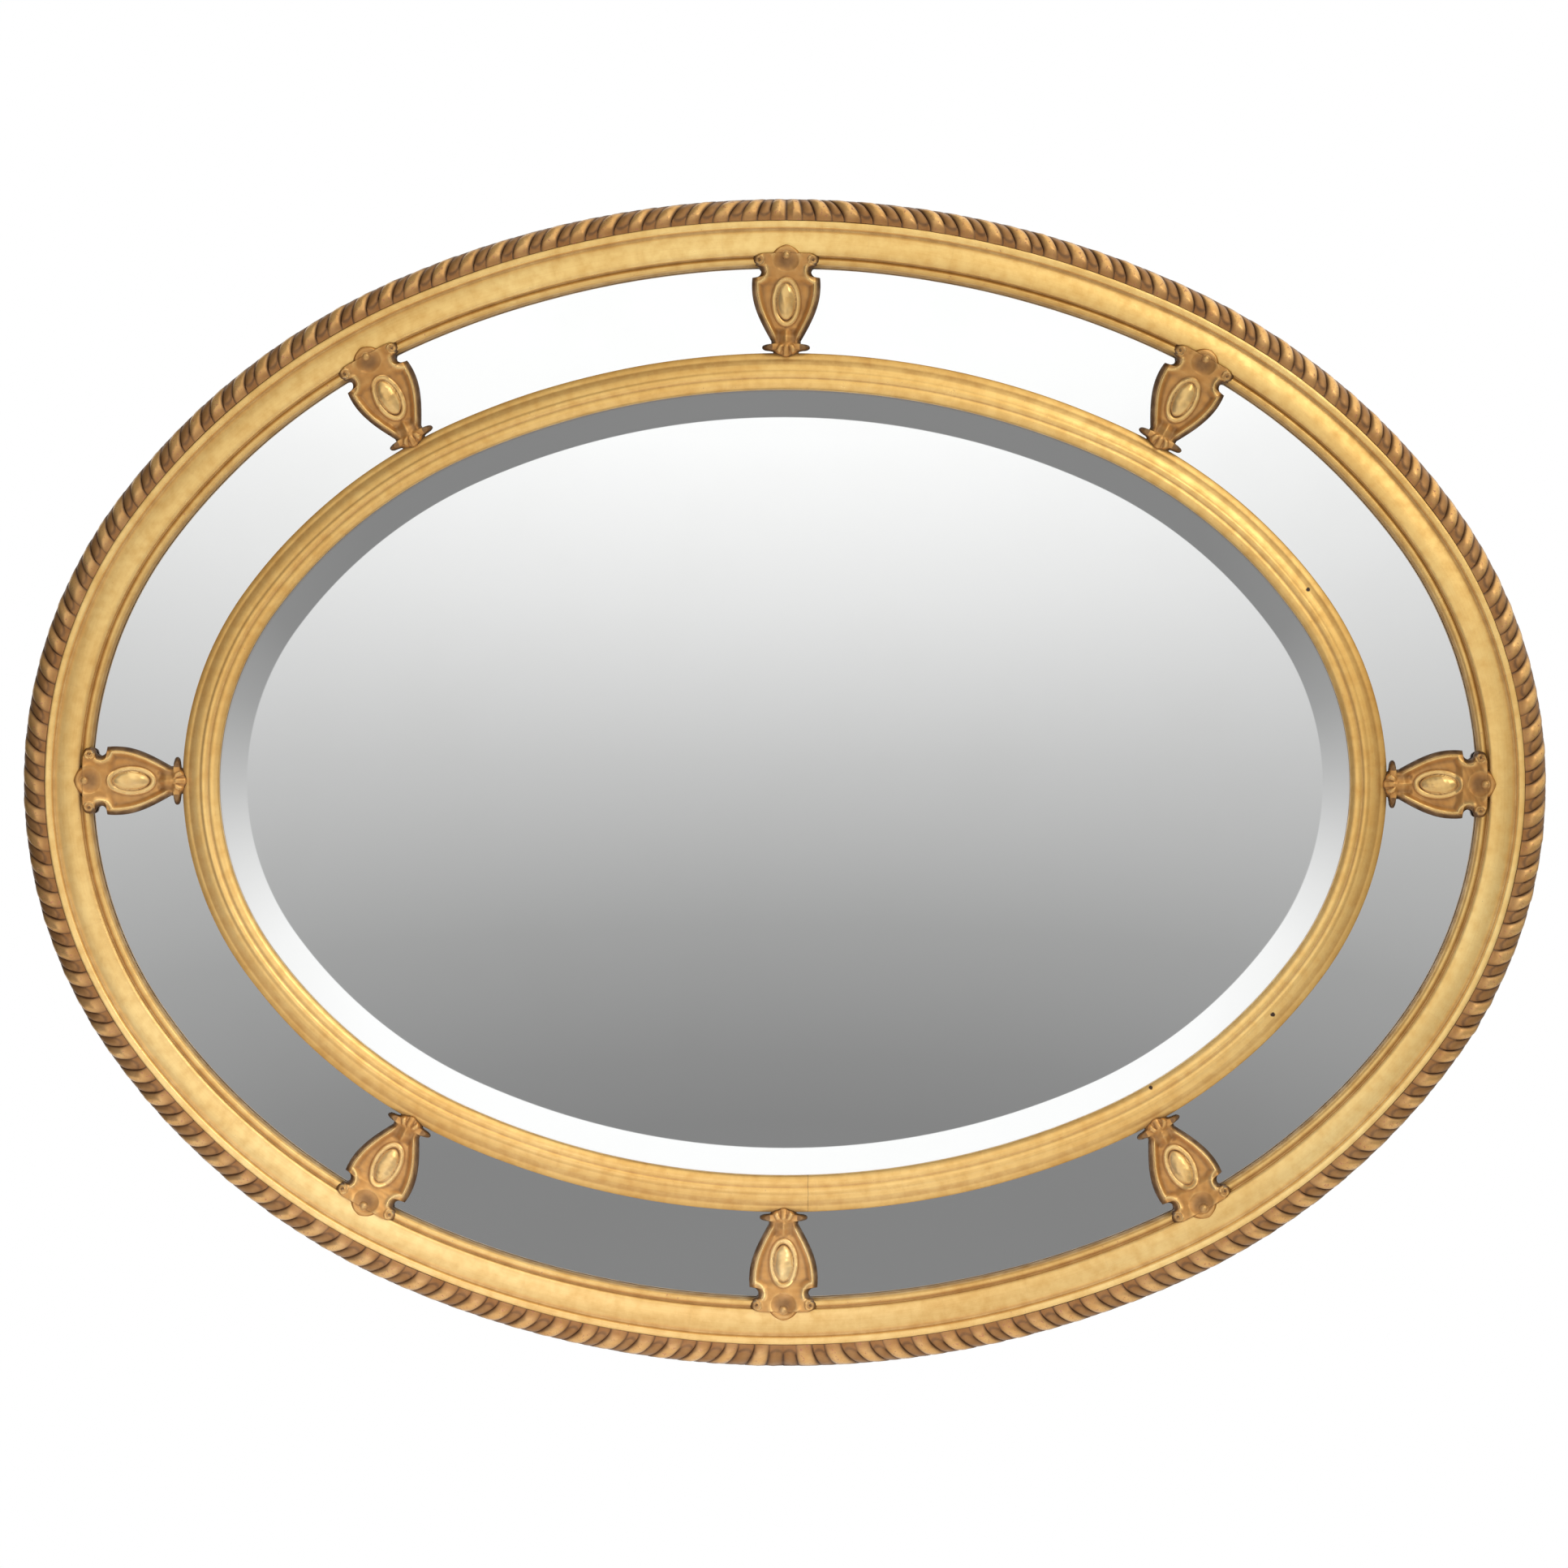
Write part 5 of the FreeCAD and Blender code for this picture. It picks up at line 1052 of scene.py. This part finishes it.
# %% [markdown]
# ## The studio
# The plates show the room in front of them: white above, grey below and a steep change at eye level, as
# the photograph has it. Rays that come through glass see that sky. The leaf sees another one, dimmed along
# several ways, because in the photograph the gilding is darker at the left and the right than above and
# below. Camera rays see plain white. A soft lamp high on the right gives the highlights, a small cool one
# below the middle fills the shade, and a pale floor lies well below, as under a hung mirror.

# %% Two skies
class Sky(Finish):
    """A node tree of the world, built with the same short words."""

    def __init__(self, name):
        self.world = bpy.data.worlds.new(name)
        self.world.use_nodes = True
        self.tree = self.world.node_tree
        self.place = self.node("ShaderNodeTexCoord").outputs["Generated"]


PLATE_GREYS = ((0.0, 0.20), (0.10, 0.205), (0.177, 0.238), (0.331, 0.338), (0.524, 0.548), (0.715, 0.80),
               (0.908, 1.01), (1.0, 1.03))
PLATE_STEP = 0.06
# Each shade lies along a way: where it is darkest, where it ends and the light that it leaves
SKY_SHADES = (("falling", 0.7, 0.05, 0.48), ("falling", -1.1, -0.8, 0.3), ("rising", -1.0, -0.6, 0.15),
              ("right", 0.7, 0.1, 0.65), ("left", -0.65, -0.15, 0.15), ("up", -0.75, -0.45, 0.4))


def plate_sky(sky, x, z):
    """What the plates show: grey to white at eye level, by the height z of the direction, gentler towards
    the sides, and bright again far below and far aside."""
    sideways = sky.math("MULTIPLY", x, x)
    height = sky.math("MULTIPLY", z, sky.spread(sideways, 0.0, 0.012, 1.0, 0.55))
    ramp = sky.node("ShaderNodeValToRGB", {"Fac": sky.spread(height, -PLATE_STEP, PLATE_STEP)})
    for position, grey in PLATE_GREYS[1:-1]:
        ramp.color_ramp.elements.new(position)
    for element, (position, grey) in zip(ramp.color_ramp.elements, PLATE_GREYS):
        element.position = position
        element.color = (grey, grey, grey, 1)
    low = sky.spread(z, -0.2, -0.7, 0.0, 0.9)
    aside = sky.spread(sideways, 0.06, 0.5, 0.0, 0.85)
    return sky.math("MAXIMUM", ramp.outputs["Color"], sky.math("MAXIMUM", low, aside))


def leaf_sky(sky, x, z):
    """What the leaf shows: a sky a little brighter low on the left, times the light that each shade
    leaves, plus a bright corner high on the right."""
    steep = sky.math("ABSOLUTE", z)
    ways = {"rising": sky.math("ADD", x, z), "falling": sky.math("SUBTRACT", x, z), "up": z,
            "right": sky.math("SUBTRACT", x, steep), "left": sky.math("ADD", x, steep)}
    soft = sky.math("MULTIPLY_ADD", sky.spread(ways["rising"], -0.1, -0.5), 0.25, 1.0)
    for way, dark, clear, light in SKY_SHADES:
        soft = sky.math("MULTIPLY", soft, sky.spread(ways[way], dark, clear, light, 1.0))
    return sky.math("MULTIPLY_ADD", sky.spread(ways["rising"], 0.75, 1.05), 0.5, soft)


# %% The world
def studio_world():
    """White for camera rays, the plates' sky for rays through glass and the leaf's sky for all others."""
    sky = Sky("studio")
    parts = sky.parts(sky.place)
    x, z = parts["X"], parts["Z"]
    rays = sky.node("ShaderNodeLightPath").outputs
    seen = sky.mix(rays["Is Transmission Ray"], leaf_sky(sky, x, z), plate_sky(sky, x, z))
    seen = sky.mix(rays["Is Camera Ray"], seen, (1, 1, 1, 1))
    sky.feed(sky.tree.nodes["Background"].inputs["Color"], seen)
    bpy.context.scene.world = sky.world


studio_world()
print("World:", len(bpy.context.scene.world.node_tree.nodes), "nodes")

# %% Lamps and floor
def soft_lamp(name, spot, size, power, tint, glint):
    """A square lamp that faces the mirror's middle. Neither the camera nor the plates see its shape, and
    leaf shows its highlight only where it has a glint."""
    lamp = bpy.data.lights.new(name, "AREA")
    lamp.size = size
    lamp.energy = power
    lamp.color = tint
    made = add_object(name, lamp)
    made.location = spot
    made.rotation_euler = (-made.location).to_track_quat("-Z", "Y").to_euler()
    made.visible_camera = False
    made.visible_transmission = False
    made.visible_glossy = glint


FLOOR_DROP, FLOOR_RADIUS, FLOOR_SIDES = 2.7, 4.6, 96


def pale_floor():
    """A round floor well below the mirror."""
    finish = Finish("pale_floor")
    tone = finish.noise(3.0, 4.0)
    finish.shade(Base_Color=finish.mix(tone, "#efeeea", "#f4f3f0"), Roughness=0.7)
    angle = np.linspace(0, 2 * math.pi, FLOOR_SIDES, endpoint=False)
    points = np.stack([np.cos(angle), np.sin(angle), 0 * angle], axis=-1) * FLOOR_RADIUS
    points[:, 2] = -FLOOR_DROP
    mesh = bpy.data.meshes.new("floor")
    mesh.from_pydata(points.tolist(), [], [list(range(FLOOR_SIDES))])
    mesh.materials.append(finish.material)
    add_object("floor", mesh)


soft_lamp("high_softbox", (1.35, -2.0, 1.35), size=1.0, power=8, tint=(1.0, 1.0, 1.0), glint=True)
soft_lamp("low_softbox", (-0.2, -1.0, -0.5), size=0.6, power=16, tint=(0.95, 1.0, 1.7), glint=False)
pale_floor()
print("Lamps:", [made.name for made in bpy.data.lights])

# %% The camera
CAMERA_DISTANCE = 6.0
PICTURE_WIDTH = 1.3393
SENSOR = 36.0
CAMERA_ROLL = math.radians(0.16)
CAMERA_SIDE, CAMERA_UP = -0.0007, -0.00125
RIM_DEPTH = 0.02
camera = add_object("camera", bpy.data.cameras.new("camera"))
camera.data.sensor_width = SENSOR
camera.data.lens = SENSOR * (CAMERA_DISTANCE - RIM_DEPTH) / PICTURE_WIDTH
camera.location = (CAMERA_SIDE, -CAMERA_DISTANCE, CAMERA_UP)
camera.rotation_euler = (QUARTER, -CAMERA_ROLL, 0)
bpy.context.scene.camera = camera
bpy.context.scene.view_settings.view_transform = "Standard"
print("Lens", round(camera.data.lens, 1), "mm at", CAMERA_DISTANCE, "m")
